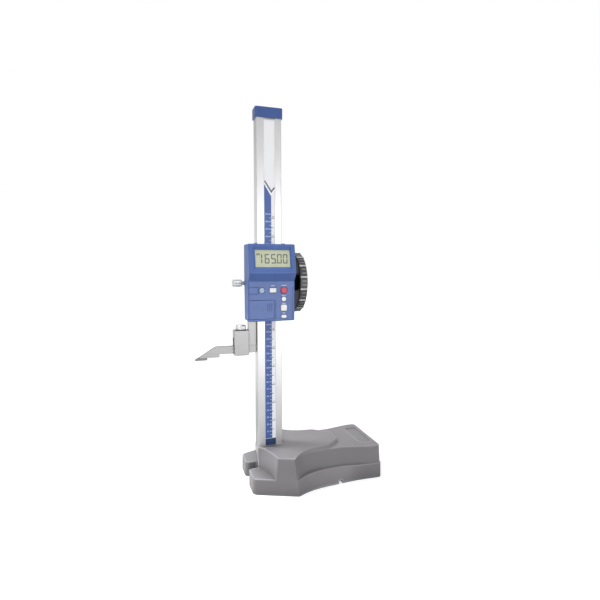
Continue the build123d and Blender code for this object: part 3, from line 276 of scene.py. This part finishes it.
def bump(tree, shader, height, strength, distance, edge=0.0):
    """Small relief over the surface, and edges that look rounded by edge (metres)."""
    made = tree.nodes.new("ShaderNodeBump")
    made.inputs["Strength"].default_value = strength
    made.inputs["Distance"].default_value = distance
    tree.links.new(height, made.inputs["Height"])
    if edge:
        soft = tree.nodes.new("ShaderNodeBevel")
        soft.samples = BEVEL_SAMPLES
        soft.inputs["Radius"].default_value = edge
        tree.links.new(soft.outputs["Normal"], made.inputs["Normal"])
    tree.links.new(made.outputs["Normal"], shader.inputs["Normal"])


def normal_along(tree, axis):
    """The part of the surface's normal that lies along X, Y or Z."""
    facing = tree.nodes.new("ShaderNodeNewGeometry")
    parts = tree.nodes.new("ShaderNodeSeparateXYZ")
    tree.links.new(facing.outputs["Normal"], parts.inputs[0])
    return parts.outputs[axis]


def occlusion(tree, reach, inside=False):
    """0 on open flat surface, up to 1 in hollows narrower than reach, or on edges if inside."""
    made = tree.nodes.new("ShaderNodeAmbientOcclusion")
    made.samples = OCCLUSION_SAMPLES
    made.inside = inside
    made.inputs["Distance"].default_value = reach
    return arithmetic(tree, "SUBTRACT", 1.0, made.outputs["AO"])


def worn(tree, colour, edge_gain, hollow_loss, edge_reach, hollow_reach, upright=1.0):
    """Colour made lighter on outer edges, a painted highlight, and darker in hollows, painted
    shade.

    upright is the share of the painted highlight that edges of upright faces get, against upward
    ones.
    """
    gain = arithmetic(tree, "MULTIPLY", occlusion(tree, edge_reach, inside=True), edge_gain)
    if upright < 1:
        share = mapped(tree, normal_along(tree, "Z"), 0.0, 1.0, upright, 1.0)
        gain = arithmetic(tree, "MULTIPLY", gain, share)
    loss = arithmetic(tree, "MULTIPLY", occlusion(tree, hollow_reach), hollow_loss)
    painted_edge_light = arithmetic(tree, "ADD", gain, 1.0)
    painted_hollow_shade = arithmetic(tree, "SUBTRACT", 1.0, loss)
    made = tree.nodes.new("ShaderNodeVectorMath")
    made.operation = "SCALE"
    tree.links.new(colour, made.inputs[0])
    tree.links.new(arithmetic(tree, "MULTIPLY", painted_edge_light, painted_hollow_shade), made.inputs["Scale"])
    return made.outputs["Vector"]


def plastic(name, colour, rough=0.4, vary=0.06, grain=2600, relief=0.08, edge=0.0004, painted_light=None):
    """Moulded plastic: faint colour drift, fine spark-eroded grain, and, if given, painted
    highlight on edges and painted shade in hollows.
    """
    made, tree, shader = new_material(name)
    place = coordinates(tree)
    drift = spread(tree, noise(tree, place, 60), 0, 1)
    fine = noise(tree, place, grain, 2)
    tone = tint(tree, drift, shade(colour, 1 - vary), shade(colour, 1 + vary))
    # Painted highlight on outer edges and painted shade in hollows.
    if painted_light:
        tone = worn(tree, tone, **painted_light)
    tree.links.new(tone, shader.inputs["Base Color"])
    roughness = spread(tree, fine, rough - PLASTIC_DRIFT, rough + PLASTIC_DRIFT)
    tree.links.new(roughness, shader.inputs["Roughness"])
    bump(tree, shader, fine, relief, GRAIN_DEPTH, edge)
    return made


# Y of a normal that looks straight to the front, and of one that looks a little aside.
STRAIGHT_FRONT, NEARLY_FRONT = -0.999, -0.98


def polish_front(made, front, others):
    """Specular level front where a face looks straight to the front, and others elsewhere."""
    tree = made.node_tree
    level = mapped(tree, normal_along(tree, "Y"), STRAIGHT_FRONT, NEARLY_FRONT, front, others)
    tree.links.new(level, tree.nodes["Principled BSDF"].inputs["Specular IOR Level"])


def metal(
    name,
    colour,
    rough=0.28,
    vary=0.07,
    lines=(1, 1, 0.02),
    scale=2500,
    relief=0.06,
    edge=0.0003,
    painted_light=None,
):
    """Ground or turned metal, with fine lines along the axis that lines draws out."""
    made, tree, shader = new_material(name)
    shader.inputs["Metallic"].default_value = 1.0
    grain = noise(tree, coordinates(tree, lines), scale, 3)
    drift = noise(tree, coordinates(tree), 25, 3)
    grain_part = spread(tree, grain, 0, MAIN_SHARE)
    both = arithmetic(tree, "ADD", grain_part, spread(tree, drift, 0, LESSER_SHARE))
    tone = tint(tree, both, shade(colour, 1 - vary), shade(colour, 1 + vary))
    # Painted highlight on outer edges and painted shade in hollows.
    if painted_light:
        tone = worn(tree, tone, **painted_light)
    tree.links.new(tone, shader.inputs["Base Color"])
    tree.links.new(spread(tree, grain, rough - 0.05, rough + 0.07), shader.inputs["Roughness"])
    bump(tree, shader, grain, relief, METAL_DEPTH, edge)
    return made


def enamel(name, colour, painted_light):
    """Satin paint over a sand casting: soft unevenness, fine pits and a few darker specks."""
    made, tree, shader = new_material(name)
    place = coordinates(tree)
    broad = noise(tree, place, 28, 4)
    orange_peel = noise(tree, place, 520, 3)
    pits = noise(tree, place, 1500, 2)
    patches, specks = spread(tree, broad, 0, 1), spread(tree, pits, 0, LESSER_SHARE)
    tone = arithmetic(tree, "MULTIPLY_ADD", patches, MAIN_SHARE, specks)
    paint = tint(tree, tone, shade(colour, 0.93), shade(colour, 1.06))
    # Painted highlight along the rims and painted shade in the hollows.
    tree.links.new(worn(tree, paint, **painted_light), shader.inputs["Base Color"])
    tree.links.new(spread(tree, orange_peel, 0.34, 0.48), shader.inputs["Roughness"])
    relief = arithmetic(tree, "MULTIPLY_ADD", pits, 0.35, orange_peel)
    bump(tree, shader, relief, 0.22, ENAMEL_DEPTH, 0.0012)
    return made


def print_ink(name, colour, rough=0.45):
    """Ink printed on film, a little uneven."""
    return plastic(name, colour, rough, vary=0.05, grain=1800, relief=0.02, edge=0)


# Painted highlight on outer edges and painted shade in hollows, with the reaches in metres. The
# milled arm's edges are darker, not lighter.
# Housing: painted shade in the gaps round keys and door, and a faint painted highlight on its
# edges.
HOUSING_PAINTED_LIGHT = dict(edge_gain=0.15, hollow_loss=0.85, edge_reach=0.0012, hollow_reach=0.0018)
# Metal: painted highlight on edges and painted shade in hollows.
METAL_PAINTED_LIGHT = dict(edge_gain=0.5, hollow_loss=0.35, edge_reach=0.0008, hollow_reach=0.003)
# Arm: painted shade on its edges and where it meets the column.
ARM_PAINTED_SHADE = dict(edge_gain=-0.9, hollow_loss=0.5, edge_reach=0.0005, hollow_reach=0.003)
# Knobs: painted highlight on the flutes' edges and painted shade on the neck by the housing.
KNOB_PAINTED_LIGHT = dict(edge_gain=0.6, hollow_loss=0.95, edge_reach=0.0004, hollow_reach=0.0030)
# Base: painted highlight along upward rims, and painted shade in hollows such as the valley beside
# the front block.
BASE_PAINTED_LIGHT = dict(
    edge_gain=2.6, hollow_loss=0.6, edge_reach=0.0026, hollow_reach=0.020, upright=0.25
)

# Stretch of the grain where a metal has no fine lines.
PLAIN = (1, 1, 1)

blue = plastic("blue_housing", (0.104, 0.176, 0.445), rough=0.44, painted_light=HOUSING_PAINTED_LIGHT)
polish_front(blue, front=0.70, others=0.16)
cap_blue = plastic("blue_cap", (0.045, 0.10, 0.31), rough=0.4, painted_light=HOUSING_PAINTED_LIGHT)
dark_plastic = plastic("dark_plastic", (0.02, 0.02, 0.022), rough=0.5)
white_key = plastic("key_white", (0.95, 0.97, 0.985), rough=0.3, vary=0.02)
red_key = plastic("key_red", (0.64, 0.055, 0.11), rough=0.3)
gray_key = plastic("key_gray", (0.40, 0.52, 0.72), rough=0.3)
mat_rubber = plastic("key_mat", (0.12, 0.12, 0.13), rough=0.7)
board_green = plastic("solder_mask", (0.02, 0.13, 0.06), rough=0.35)
label_white = plastic(
    "label_film", (0.95, 0.955, 0.98), rough=0.3, vary=0.015, relief=0.02, edge=0
)
ink_white = print_ink("ink_white", (0.85, 0.90, 0.95))
ink_pale = print_ink("ink_pale", (0.42, 0.54, 0.86))
ink_blue = print_ink("ink_blue", (0.060, 0.125, 0.385), rough=0.3)
ink_navy = print_ink("ink_navy", (0.02, 0.05, 0.15), rough=0.3)
ink_dark = print_ink("ink_dark", (0.03, 0.035, 0.05))
ink_slate = print_ink("ink_slate", (0.055, 0.085, 0.12))
legend_ink = print_ink("legend_ink", (0.86, 0.88, 0.95))
lcd_back = plastic("lcd_back", (0.62, 0.66, 0.42), rough=0.5, vary=0.03, relief=0.02, edge=0)
lcd_dark = plastic("lcd_segment", (0.02, 0.024, 0.018), rough=0.5, vary=0.05, relief=0.02, edge=0)
steel_column = metal("ground_column", (0.645, 0.645, 0.655), rough=0.34, lines=(1, 1, 0.01))
steel_turned = metal(
    "turned_steel", (0.60, 0.60, 0.60), rough=0.30, lines=(0.05, 1, 1), painted_light=METAL_PAINTED_LIGHT
)
steel_knurled = metal("knurled_steel", (0.70, 0.70, 0.69), rough=0.30, lines=PLAIN, painted_light=KNOB_PAINTED_LIGHT)
steel_arm = metal(
    "milled_steel", (0.345, 0.345, 0.345), rough=0.34, lines=(1, 1, 0.05), painted_light=ARM_PAINTED_SHADE
)
steel_dark = metal("black_screws", (0.12, 0.12, 0.125), rough=0.4, lines=PLAIN, painted_light=METAL_PAINTED_LIGHT)
rack_steel = metal("rack_steel", (0.46, 0.46, 0.47), rough=0.3, lines=(0.03, 1, 1))
carbide = metal("carbide", (0.20, 0.20, 0.22), rough=0.3, lines=(0.05, 1, 1))
alloy = metal("frame_alloy", (0.62, 0.63, 0.65), rough=0.42, lines=PLAIN, scale=900)
bronze = metal("bronze", (0.50, 0.31, 0.15), rough=0.4, lines=PLAIN)
brass = metal("brass", (0.66, 0.49, 0.22), rough=0.3, lines=(1, 1, 0.05))
nickel = metal("nickel", (0.52, 0.52, 0.51), rough=0.32, lines=PLAIN, painted_light=METAL_PAINTED_LIGHT)
base_paint = enamel("base_enamel", (0.208, 0.200, 0.212), BASE_PAINTED_LIGHT)

# Radii of the handwheel in metres: from the recess to its rim, and up the ridges on the rim.
WHEEL_RIM = 41.5 * MM
RECESS_TO_RIM = (WHEEL_RIM - 1.0 * MM, WHEEL_RIM - 0.3 * MM)
RIM_TO_RIDGE = (WHEEL_RIM + 0.45 * MM, WHEEL_RIM + 0.8 * MM)
# Painted shade: the recess is near black, darker than the rim.
WHEEL_RECESS_PAINTED_SHADE = (0.006, 0.006, 0.007)
WHEEL_RIM_BLACK = (0.070, 0.070, 0.073)
# Painted highlight on the ridges' tops, in two tones.
WHEEL_RIDGE_PAINTED_HIGHLIGHT = ((0.46, 0.46, 0.465), (0.74, 0.74, 0.745))


def wheel_plastic():
    """Black plastic: dull and painted darker in the recess as shade, satin on the rim, with a
    painted highlight on the ridges' tops.
    """
    made, tree, shader = new_material("black_wheel")
    place = coordinates(tree)
    wheel_low, wheel_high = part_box("handwheel")
    centre_y = (wheel_low.y + wheel_high.y) / 2
    centre_z = (wheel_low.z + wheel_high.z) / 2
    from_axis = tree.nodes.new("ShaderNodeVectorMath")
    from_axis.operation = "MULTIPLY_ADD"
    from_axis.inputs[1].default_value = (0, 1, 1)
    from_axis.inputs[2].default_value = (0, -centre_y, -centre_z)
    tree.links.new(place, from_axis.inputs[0])
    radius = vector_length(tree, from_axis.outputs[0])
    fine = noise(tree, place, 2600, 2)
    ridge_highlight_streaks = noise(tree, coordinates(tree, (0.15, 1, 1)), 900, 3)
    # Painted shade in the recess and a painted highlight on the ridges' tops.
    ridge = ramp_between(tree, radius, *RIM_TO_RIDGE, 0, 1)
    rim = ramp_between(tree, radius, *RECESS_TO_RIM, 0, 1)
    plain = tint(tree, rim, WHEEL_RECESS_PAINTED_SHADE, WHEEL_RIM_BLACK)
    painted_edge_light = tint(tree, spread(tree, ridge_highlight_streaks, 0, 1), *WHEEL_RIDGE_PAINTED_HIGHLIGHT)
    tree.links.new(tint(tree, ridge, plain, painted_edge_light), shader.inputs["Base Color"])
    smoother = arithmetic(tree, "MULTIPLY", rim, 0.12)
    rough = arithmetic(tree, "SUBTRACT", spread(tree, fine, 0.40, 0.48), smoother)
    tree.links.new(rough, shader.inputs["Roughness"])
    gloss = ramp_between(tree, radius, *RECESS_TO_RIM, 0.12, 0.5)
    tree.links.new(gloss, shader.inputs["Specular IOR Level"])
    bump(tree, shader, fine, 0.12, GRAIN_DEPTH, 0.0003)
    return made


def window_material():
    """Clear acrylic, mostly see-through, with a faint moulding wave."""
    made, tree, shader = new_material("window_acrylic")
    wave = noise(tree, coordinates(tree), 90, 2)
    colour = tint(tree, spread(tree, wave, 0, 1), (0.86, 0.90, 0.86), (0.93, 0.96, 0.93))
    tree.links.new(colour, shader.inputs["Base Color"])
    tree.links.new(spread(tree, wave, 0.05, 0.09), shader.inputs["Roughness"])
    shader.inputs["Alpha"].default_value = 0.12
    bump(tree, shader, wave, 0.02, WINDOW_DEPTH)
    return made


acrylic = window_material()
black = wheel_plastic()

NODE_MATERIALS = {
    "base_casting": base_paint,
    "column": steel_column,
    "column_fixing_screws": steel_dark,
    "capacitive_strip": board_green,
    "scale_label": label_white,
    "gear_rack": rack_steel,
    "rack_screws": steel_dark,
    "column_cap": cap_blue,
    "slider_frame": alloy,
    "gib_strip": brass,
    "gib_screws": steel_dark,
    "sensor_board": board_green,
    "lock_pad": brass,
    "lock_screw": steel_turned,
    "pinion_shaft": rack_steel,
    "retaining_ring": steel_dark,
    "shaft_bushes": bronze,
    "handwheel": black,
    "wheel_screw": steel_turned,
    "front_housing": blue,
    "housing_screws": steel_dark,
    "rear_cover": blue,
    "cover_screws": steel_dark,
    "lcd_window": acrylic,
    "lcd_panel": lcd_back,
    "circuit_board": board_green,
    "board_screws": steel_dark,
    "keypad_mat": mat_rubber,
    "battery_cell": nickel,
    "cell_holder": dark_plastic,
    "battery_contacts": nickel,
    "data_port_socket": dark_plastic,
    "preset_key": gray_key,
    "unit_key": white_key,
    "power_key": red_key,
    "hold_key": white_key,
    "zero_key": white_key,
    "mode_key": white_key,
    "battery_door": blue,
    "port_cover": blue,
    "measuring_arm": steel_arm,
    "jaw_screws": steel_dark,
    "scriber_clamp": steel_arm,
    "clamp_screw": steel_turned,
    "scriber": steel_arm,
    "carbide_tip": carbide,
}
for name, node in nodes.items():
    for material_slot in node.material_slots:
        material_slot.material = NODE_MATERIALS[name]

# ---------------------------------------------------------------- mesh helpers

# Font size for a capital letter of height 1.
FONT_SIZE = 1.38
FONT_CURVE_STEPS = 3
STEPS_PER_FLUTE = 4


def mesh_object(name, mesh, material, body):
    """A new piece in the scene that rides on a body and takes the given material."""
    made = add_object(name, mesh)
    mesh.materials.append(material)
    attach(made, body)
    return made


def finished_mesh(built, name):
    mesh = bpy.data.meshes.new(name)
    built.to_mesh(mesh)
    built.free()
    return mesh


def plate_mesh(name, outlines, place, thickness):
    """Thin plates: outlines are lists of (u, v) in mm, put in space by the matrix place."""
    built = bmesh.new()
    for outline in outlines:
        corners = [(u * MM, v * MM) for u, v in outline]
        low = [built.verts.new(place @ Vector((*corner, 0))) for corner in corners]
        high = [built.verts.new(place @ Vector((*corner, thickness * MM))) for corner in corners]
        built.faces.new(high)
        built.faces.new(list(reversed(low)))
        for i in range(len(outline)):
            j = (i + 1) % len(outline)
            built.faces.new((low[i], low[j], high[j], high[i]))
    bmesh.ops.recalc_face_normals(built, faces=built.faces)
    return finished_mesh(built, name)


def lettering_mesh(name, words, place, thickness, bold=0.0):
    """Printed words: (text, u, v, height) in mm, centred on (u, v), grown by bold."""
    built = bmesh.new()
    for text, u, v, height in words:
        curve = bpy.data.curves.new("letters", "FONT")
        curve.body = text
        curve.size = height * FONT_SIZE * MM
        curve.align_x = "CENTER"
        curve.align_y = "CENTER"
        curve.extrude = thickness / 2 * MM
        curve.offset = bold * MM
        curve.resolution_u = FONT_CURVE_STEPS
        holder = bpy.data.objects.new("letters", curve)
        part = bpy.data.meshes.new_from_object(holder)
        part.transform(place @ Matrix.Translation((u * MM, v * MM, thickness / 2 * MM)))
        built.from_mesh(part)
        bpy.data.objects.remove(holder)
        bpy.data.curves.remove(curve)
        bpy.data.meshes.remove(part)
    return finished_mesh(built, name)


def knurled_mesh(name, place, profile, flutes):
    """Turned piece round the w axis of place: profile has (w, radius, flute depth) in mm."""
    built = bmesh.new()
    steps = flutes * STEPS_PER_FLUTE
    rings = []
    for w, radius, depth in profile:
        ring = []
        for step in range(steps):
            angle = 2 * pi * step / steps
            r = radius - depth * (0.5 - 0.5 * cos(flutes * angle))
            corner = Vector((r * cos(angle), r * sin(angle), w)) * MM
            ring.append(built.verts.new(place @ corner))
        rings.append(ring)
    for near, far in zip(rings, rings[1:]):
        for i in range(steps):
            j = (i + 1) % steps
            built.faces.new((near[i], near[j], far[j], far[i]))
    built.faces.new(rings[0][::-1])
    built.faces.new(rings[-1])
    bmesh.ops.recalc_face_normals(built, faces=built.faces)
    return finished_mesh(built, name)


def rectangle(left, right, low, high):
    return [(left, low), (right, low), (right, high), (left, high)]


def facing_front(y):
    """Plane of constant Y (mm) seen from -Y: u is X, v is Z."""
    return Matrix(((1, 0, 0, 0), (0, 0, -1, y * MM), (0, 1, 0, 0), (0, 0, 0, 1)))


# ---------------------------------------------------------------- fluted screws


def node_centre(name):
    low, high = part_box(name)
    return (low + high) / 2


# Lock screw: its axis is X, and it starts at the knob's outer end.
LOCK_FLUTES = 26
LOCK_SCREW = [
    (0.0, 2.9, 0), (0.5, 3.1, 0), (0.5, 4.0, 0), (1.4, 4.75, 0), (1.6, 4.9, 0.3),
    (12.0, 4.9, 0.3), (12.2, 4.75, 0), (12.9, 4.1, 0), (13.1, 2.5, 0), (30.05, 2.5, 0),
]
lock_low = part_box("lock_screw")[0]
lock_centre = node_centre("lock_screw")
lock_place = Matrix.Translation((lock_low.x, lock_centre.y, lock_centre.z)) @ Matrix(
    ((0, 0, 1, 0), (0, 1, 0, 0), (-1, 0, 0, 0), (0, 0, 0, 1))
)
lock_knob = mesh_object(
    "lock_screw_knurled",
    knurled_mesh("lock_screw_knurled", lock_place, LOCK_SCREW, LOCK_FLUTES),
    steel_knurled,
    "lock_screw",
)
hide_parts("lock_screw")

# Clamp screw: its axis is Z, and it starts at the lower end of its thread.
CLAMP_FLUTES = 36
CLAMP_SCREW = [
    (0.0, 2.5, 0), (10.75, 2.5, 0), (10.75, 6.6, 0), (11.3, 7.0, 0), (11.5, 7.2, 0.3),
    (16.2, 7.2, 0.3), (16.4, 7.0, 0), (17.1, 6.4, 0), (17.45, 5.9, 0), (17.2, 5.2, 0),
    (17.1, 1.6, 0),
]
clamp_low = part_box("clamp_screw")[0]
clamp_centre = node_centre("clamp_screw")
clamp_place = Matrix.Translation((clamp_centre.x, clamp_centre.y, clamp_low.z))
clamp_knob = mesh_object(
    "clamp_screw_knurled",
    knurled_mesh("clamp_screw_knurled", clamp_place, CLAMP_SCREW, CLAMP_FLUTES),
    steel_knurled,
    "clamp_screw",
)
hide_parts("clamp_screw")

# ---------------------------------------------------------------- scale on the column

# All in mm. Thickness of the print, and where the scale's zero lies above the table.
INK = 0.04
SCALE_ZERO_Z = 59.5
INCH = 25.4
# Blue strip, cut slantwise at its top, with a bent line above it.
STRIP_RIGHT = 3.0
STRIP_TOP_LEFT_Z = 409.0
STRIP_TOP_RIGHT_Z = 393.5
TOP_LINE = [(-6.0, 413.6), (3.2, 399.4), (7.7, 405.2)]
TOP_LINE_WIDTH = 1.8
# Millimetre marks: one each 5, longer with a number each 10.
MARK_STEP, NUMBER_STEP, LAST_NUMBER = 5, 10, 310
TICK_RIGHT = 2.1
LONG_TICK_LEFT = -0.2
SHORT_TICK_LEFT = 0.7
TICK_HALF = 0.38
ZERO_LINE_HALF = 0.2
NUMBER_U, NUMBER_HEIGHT, NUMBER_BOLD = -3.2, 2.3, 0.09
# Inch marks: one each half inch, longer with a number each inch.
LAST_INCH = 12
LONG_INCH_RIGHT = 7.6
SHORT_INCH_RIGHT = 5.4
INCH_TICK_HALF = 0.36
INCH_NUMBER_U, INCH_NUMBER_RISE, INCH_NUMBER_HEIGHT, INCH_NUMBER_BOLD = 5.6, 2.0, 1.9, 0.06

label_low, label_high = (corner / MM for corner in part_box("scale_label"))
label_face = facing_front(label_low.y)
ink_face = facing_front(label_low.y - INK)


def print_plates(name, outlines, place, ink):
    """Flat print on the column's label."""
    mesh_object(name, plate_mesh(name, outlines, place, INK), ink, "root")


def bent_line(points, width):
    """Outline of a line through three points, width across, with a mitred corner."""
    first, middle, last = (Vector(p) for p in points)
    ways = ((middle - first).normalized(), (last - middle).normalized())
    sides = [Vector((-way.y, way.x)) for way in ways]
    mitre = (sides[0] + sides[1]).normalized()
    mitre *= 1 / mitre.dot(sides[0])
    offsets = [(first, sides[0]), (middle, mitre), (last, sides[1])]
    left = [tuple(p + o * width / 2) for p, o in offsets]
    right = [tuple(p - o * width / 2) for p, o in offsets]
    return left + right[::-1]


def level_line(left, right, z, half):
    return rectangle(left, right, z - half, z + half)


strip = [
    (label_low.x, SCALE_ZERO_Z),
    (STRIP_RIGHT, SCALE_ZERO_Z),
    (STRIP_RIGHT, STRIP_TOP_RIGHT_Z),
    (label_low.x, STRIP_TOP_LEFT_Z),
]
print_plates("scale_strip_blue", [strip], label_face, ink_blue)
foot = rectangle(label_low.x, label_high.x, label_low.z, SCALE_ZERO_Z)
print_plates("scale_foot_navy", [foot], label_face, ink_navy)
top_line = bent_line(TOP_LINE, TOP_LINE_WIDTH)
print_plates("scale_top_line", [top_line], label_face, ink_slate)

millimetre_ticks = [level_line(label_low.x, STRIP_RIGHT, SCALE_ZERO_Z, ZERO_LINE_HALF)]
for value in range(MARK_STEP, LAST_NUMBER + 1, MARK_STEP):
    left = SHORT_TICK_LEFT if value % NUMBER_STEP else LONG_TICK_LEFT
    millimetre_ticks.append(level_line(left, TICK_RIGHT, SCALE_ZERO_Z + value, TICK_HALF))
print_plates("scale_ticks_millimetre", millimetre_ticks, ink_face, ink_white)
millimetre_numbers = [
    (str(value), NUMBER_U, SCALE_ZERO_Z + value, NUMBER_HEIGHT)
    for value in range(NUMBER_STEP, LAST_NUMBER + 1, NUMBER_STEP)
]
mesh_object(
    "scale_numbers_millimetre",
    lettering_mesh(
        "scale_numbers_millimetre", millimetre_numbers, ink_face, INK, bold=NUMBER_BOLD
    ),
    ink_pale,
    "root",
)

inch_ticks = []
for half_inch in range(1, 2 * LAST_INCH + 1):
    right = SHORT_INCH_RIGHT if half_inch % 2 else LONG_INCH_RIGHT
    z = SCALE_ZERO_Z + half_inch * INCH / 2
    inch_ticks.append(level_line(STRIP_RIGHT, right, z, INCH_TICK_HALF))
print_plates("scale_ticks_inch", inch_ticks, label_face, ink_dark)
inch_numbers = [
    (str(inch), INCH_NUMBER_U, SCALE_ZERO_Z + inch * INCH + INCH_NUMBER_RISE, INCH_NUMBER_HEIGHT)
    for inch in range(1, LAST_INCH + 1)
]
mesh_object(
    "scale_numbers_inch",
    lettering_mesh("scale_numbers_inch", inch_numbers, label_face, INK, bold=INCH_NUMBER_BOLD),
    ink_dark,
    "root",
)

# ---------------------------------------------------------------- display

# All in mm. The display face starts at the head's top and slopes down and to the front.
HEAD_TOP = Vector((0, -28.5, 328.6))
DOWN_SLOPE = Vector((0, -8.5, -38.3)).normalized()
INWARD = Vector((0, 38.3, -8.5)).normalized()
LCD_FACE_DEPTH = 3.3
SEGMENT_THICKNESS = 0.05
# Seven-segment digits: v is 0 at the head's top, and READING gives each cell's left side.
DIGIT_TOP = -12.8
DIGIT_HEIGHT = 12.8
DIGIT_LOW = DIGIT_TOP - DIGIT_HEIGHT
DIGIT_WIDTH = 6.4
STROKE = 1.6
SEGMENT_GAP = 0.08
LEAN = 0.03
SEGMENTS_OF = {"0": "abcdef", "1": "bc", "5": "acdfg", "6": "acdefg"}
READING = [("1", -21.2), ("6", -11.6), ("5", -3.0), ("0", 5.0), ("0", 12.9)]
POINT_LEFT, POINT_SIZE = 3.5, 1.2
FLAG = ("ABS", -20.0, -13.4, 2.3)
FLAG_BOLD = 0.16

# Matrix of the display's face, which lies LCD_FACE_DEPTH inside the slope: u is X, v is up it.
across, up, out = Vector((1, 0, 0)), -DOWN_SLOPE, -INWARD
lcd_place = Matrix((across, up, out)).transposed().to_4x4()
lcd_place.translation = (HEAD_TOP + INWARD * LCD_FACE_DEPTH) * MM


def segment_outline(letter, left):
    """One stroke, with pointed ends, of a seven-segment digit whose cell starts at left."""
    right = left + DIGIT_WIDTH
    middle = (DIGIT_TOP + DIGIT_LOW) / 2
    half = STROKE / 2
    levels = {"a": DIGIT_TOP - half, "g": middle, "d": DIGIT_LOW + half}
    if letter in levels:
        v = levels[letter]
        start, end = left + SEGMENT_GAP, right - SEGMENT_GAP
        points = [(start, v), (start + half, v + half), (end - half, v + half)]
        points += [(end, v), (end - half, v - half), (start + half, v - half)]
    else:
        u = right - half if letter in "bc" else left + half
        head, foot = (DIGIT_TOP, middle) if letter in "bf" else (middle, DIGIT_LOW)
        head, foot = head - SEGMENT_GAP, foot + SEGMENT_GAP
        points = [(u, head), (u + half, head - half), (u + half, foot + half)]
        points += [(u, foot), (u - half, foot + half), (u - half, head - half)]
    return [(u + (v - DIGIT_LOW) * LEAN, v) for u, v in points]


segments = [
    segment_outline(letter, left) for digit, left in READING for letter in SEGMENTS_OF[digit]
]
segments.append(rectangle(POINT_LEFT, POINT_LEFT + POINT_SIZE, DIGIT_LOW, DIGIT_LOW + POINT_SIZE))
mesh_object(
    "lcd_digits",
    plate_mesh("lcd_digits", segments, lcd_place, SEGMENT_THICKNESS),
    lcd_dark,
    "slider",
)
mesh_object(
    "lcd_flag",
    lettering_mesh("lcd_flag", [FLAG], lcd_place, SEGMENT_THICKNESS, bold=FLAG_BOLD),
    lcd_dark,
    "slider",
)

# ---------------------------------------------------------------- words at the keys

# All in mm: the front panel, and each word's height above the table.
PANEL_Y = -28.0
LEGEND_HEIGHT = 1.35
LEGEND_BOLD = 0.06
LEGENDS = {
    "unit_key": ("in/mm", 273.8),
    "power_key": ("ON/OFF", 273.8),
    "hold_key": ("HOLD", 260.6),
    "zero_key": ("ZERO", 249.9),
    "mode_key": ("TOL", 237.1),
}
key_words = []
for key, (word, z) in LEGENDS.items():
    key_low, key_high = (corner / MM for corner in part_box(key))
    key_words.append((word, (key_low.x + key_high.x) / 2, z, LEGEND_HEIGHT))
mesh_object(
    "key_legends",
    lettering_mesh("key_legends", key_words, facing_front(PANEL_Y), INK, bold=LEGEND_BOLD),
    legend_ink,
    "slider",
)
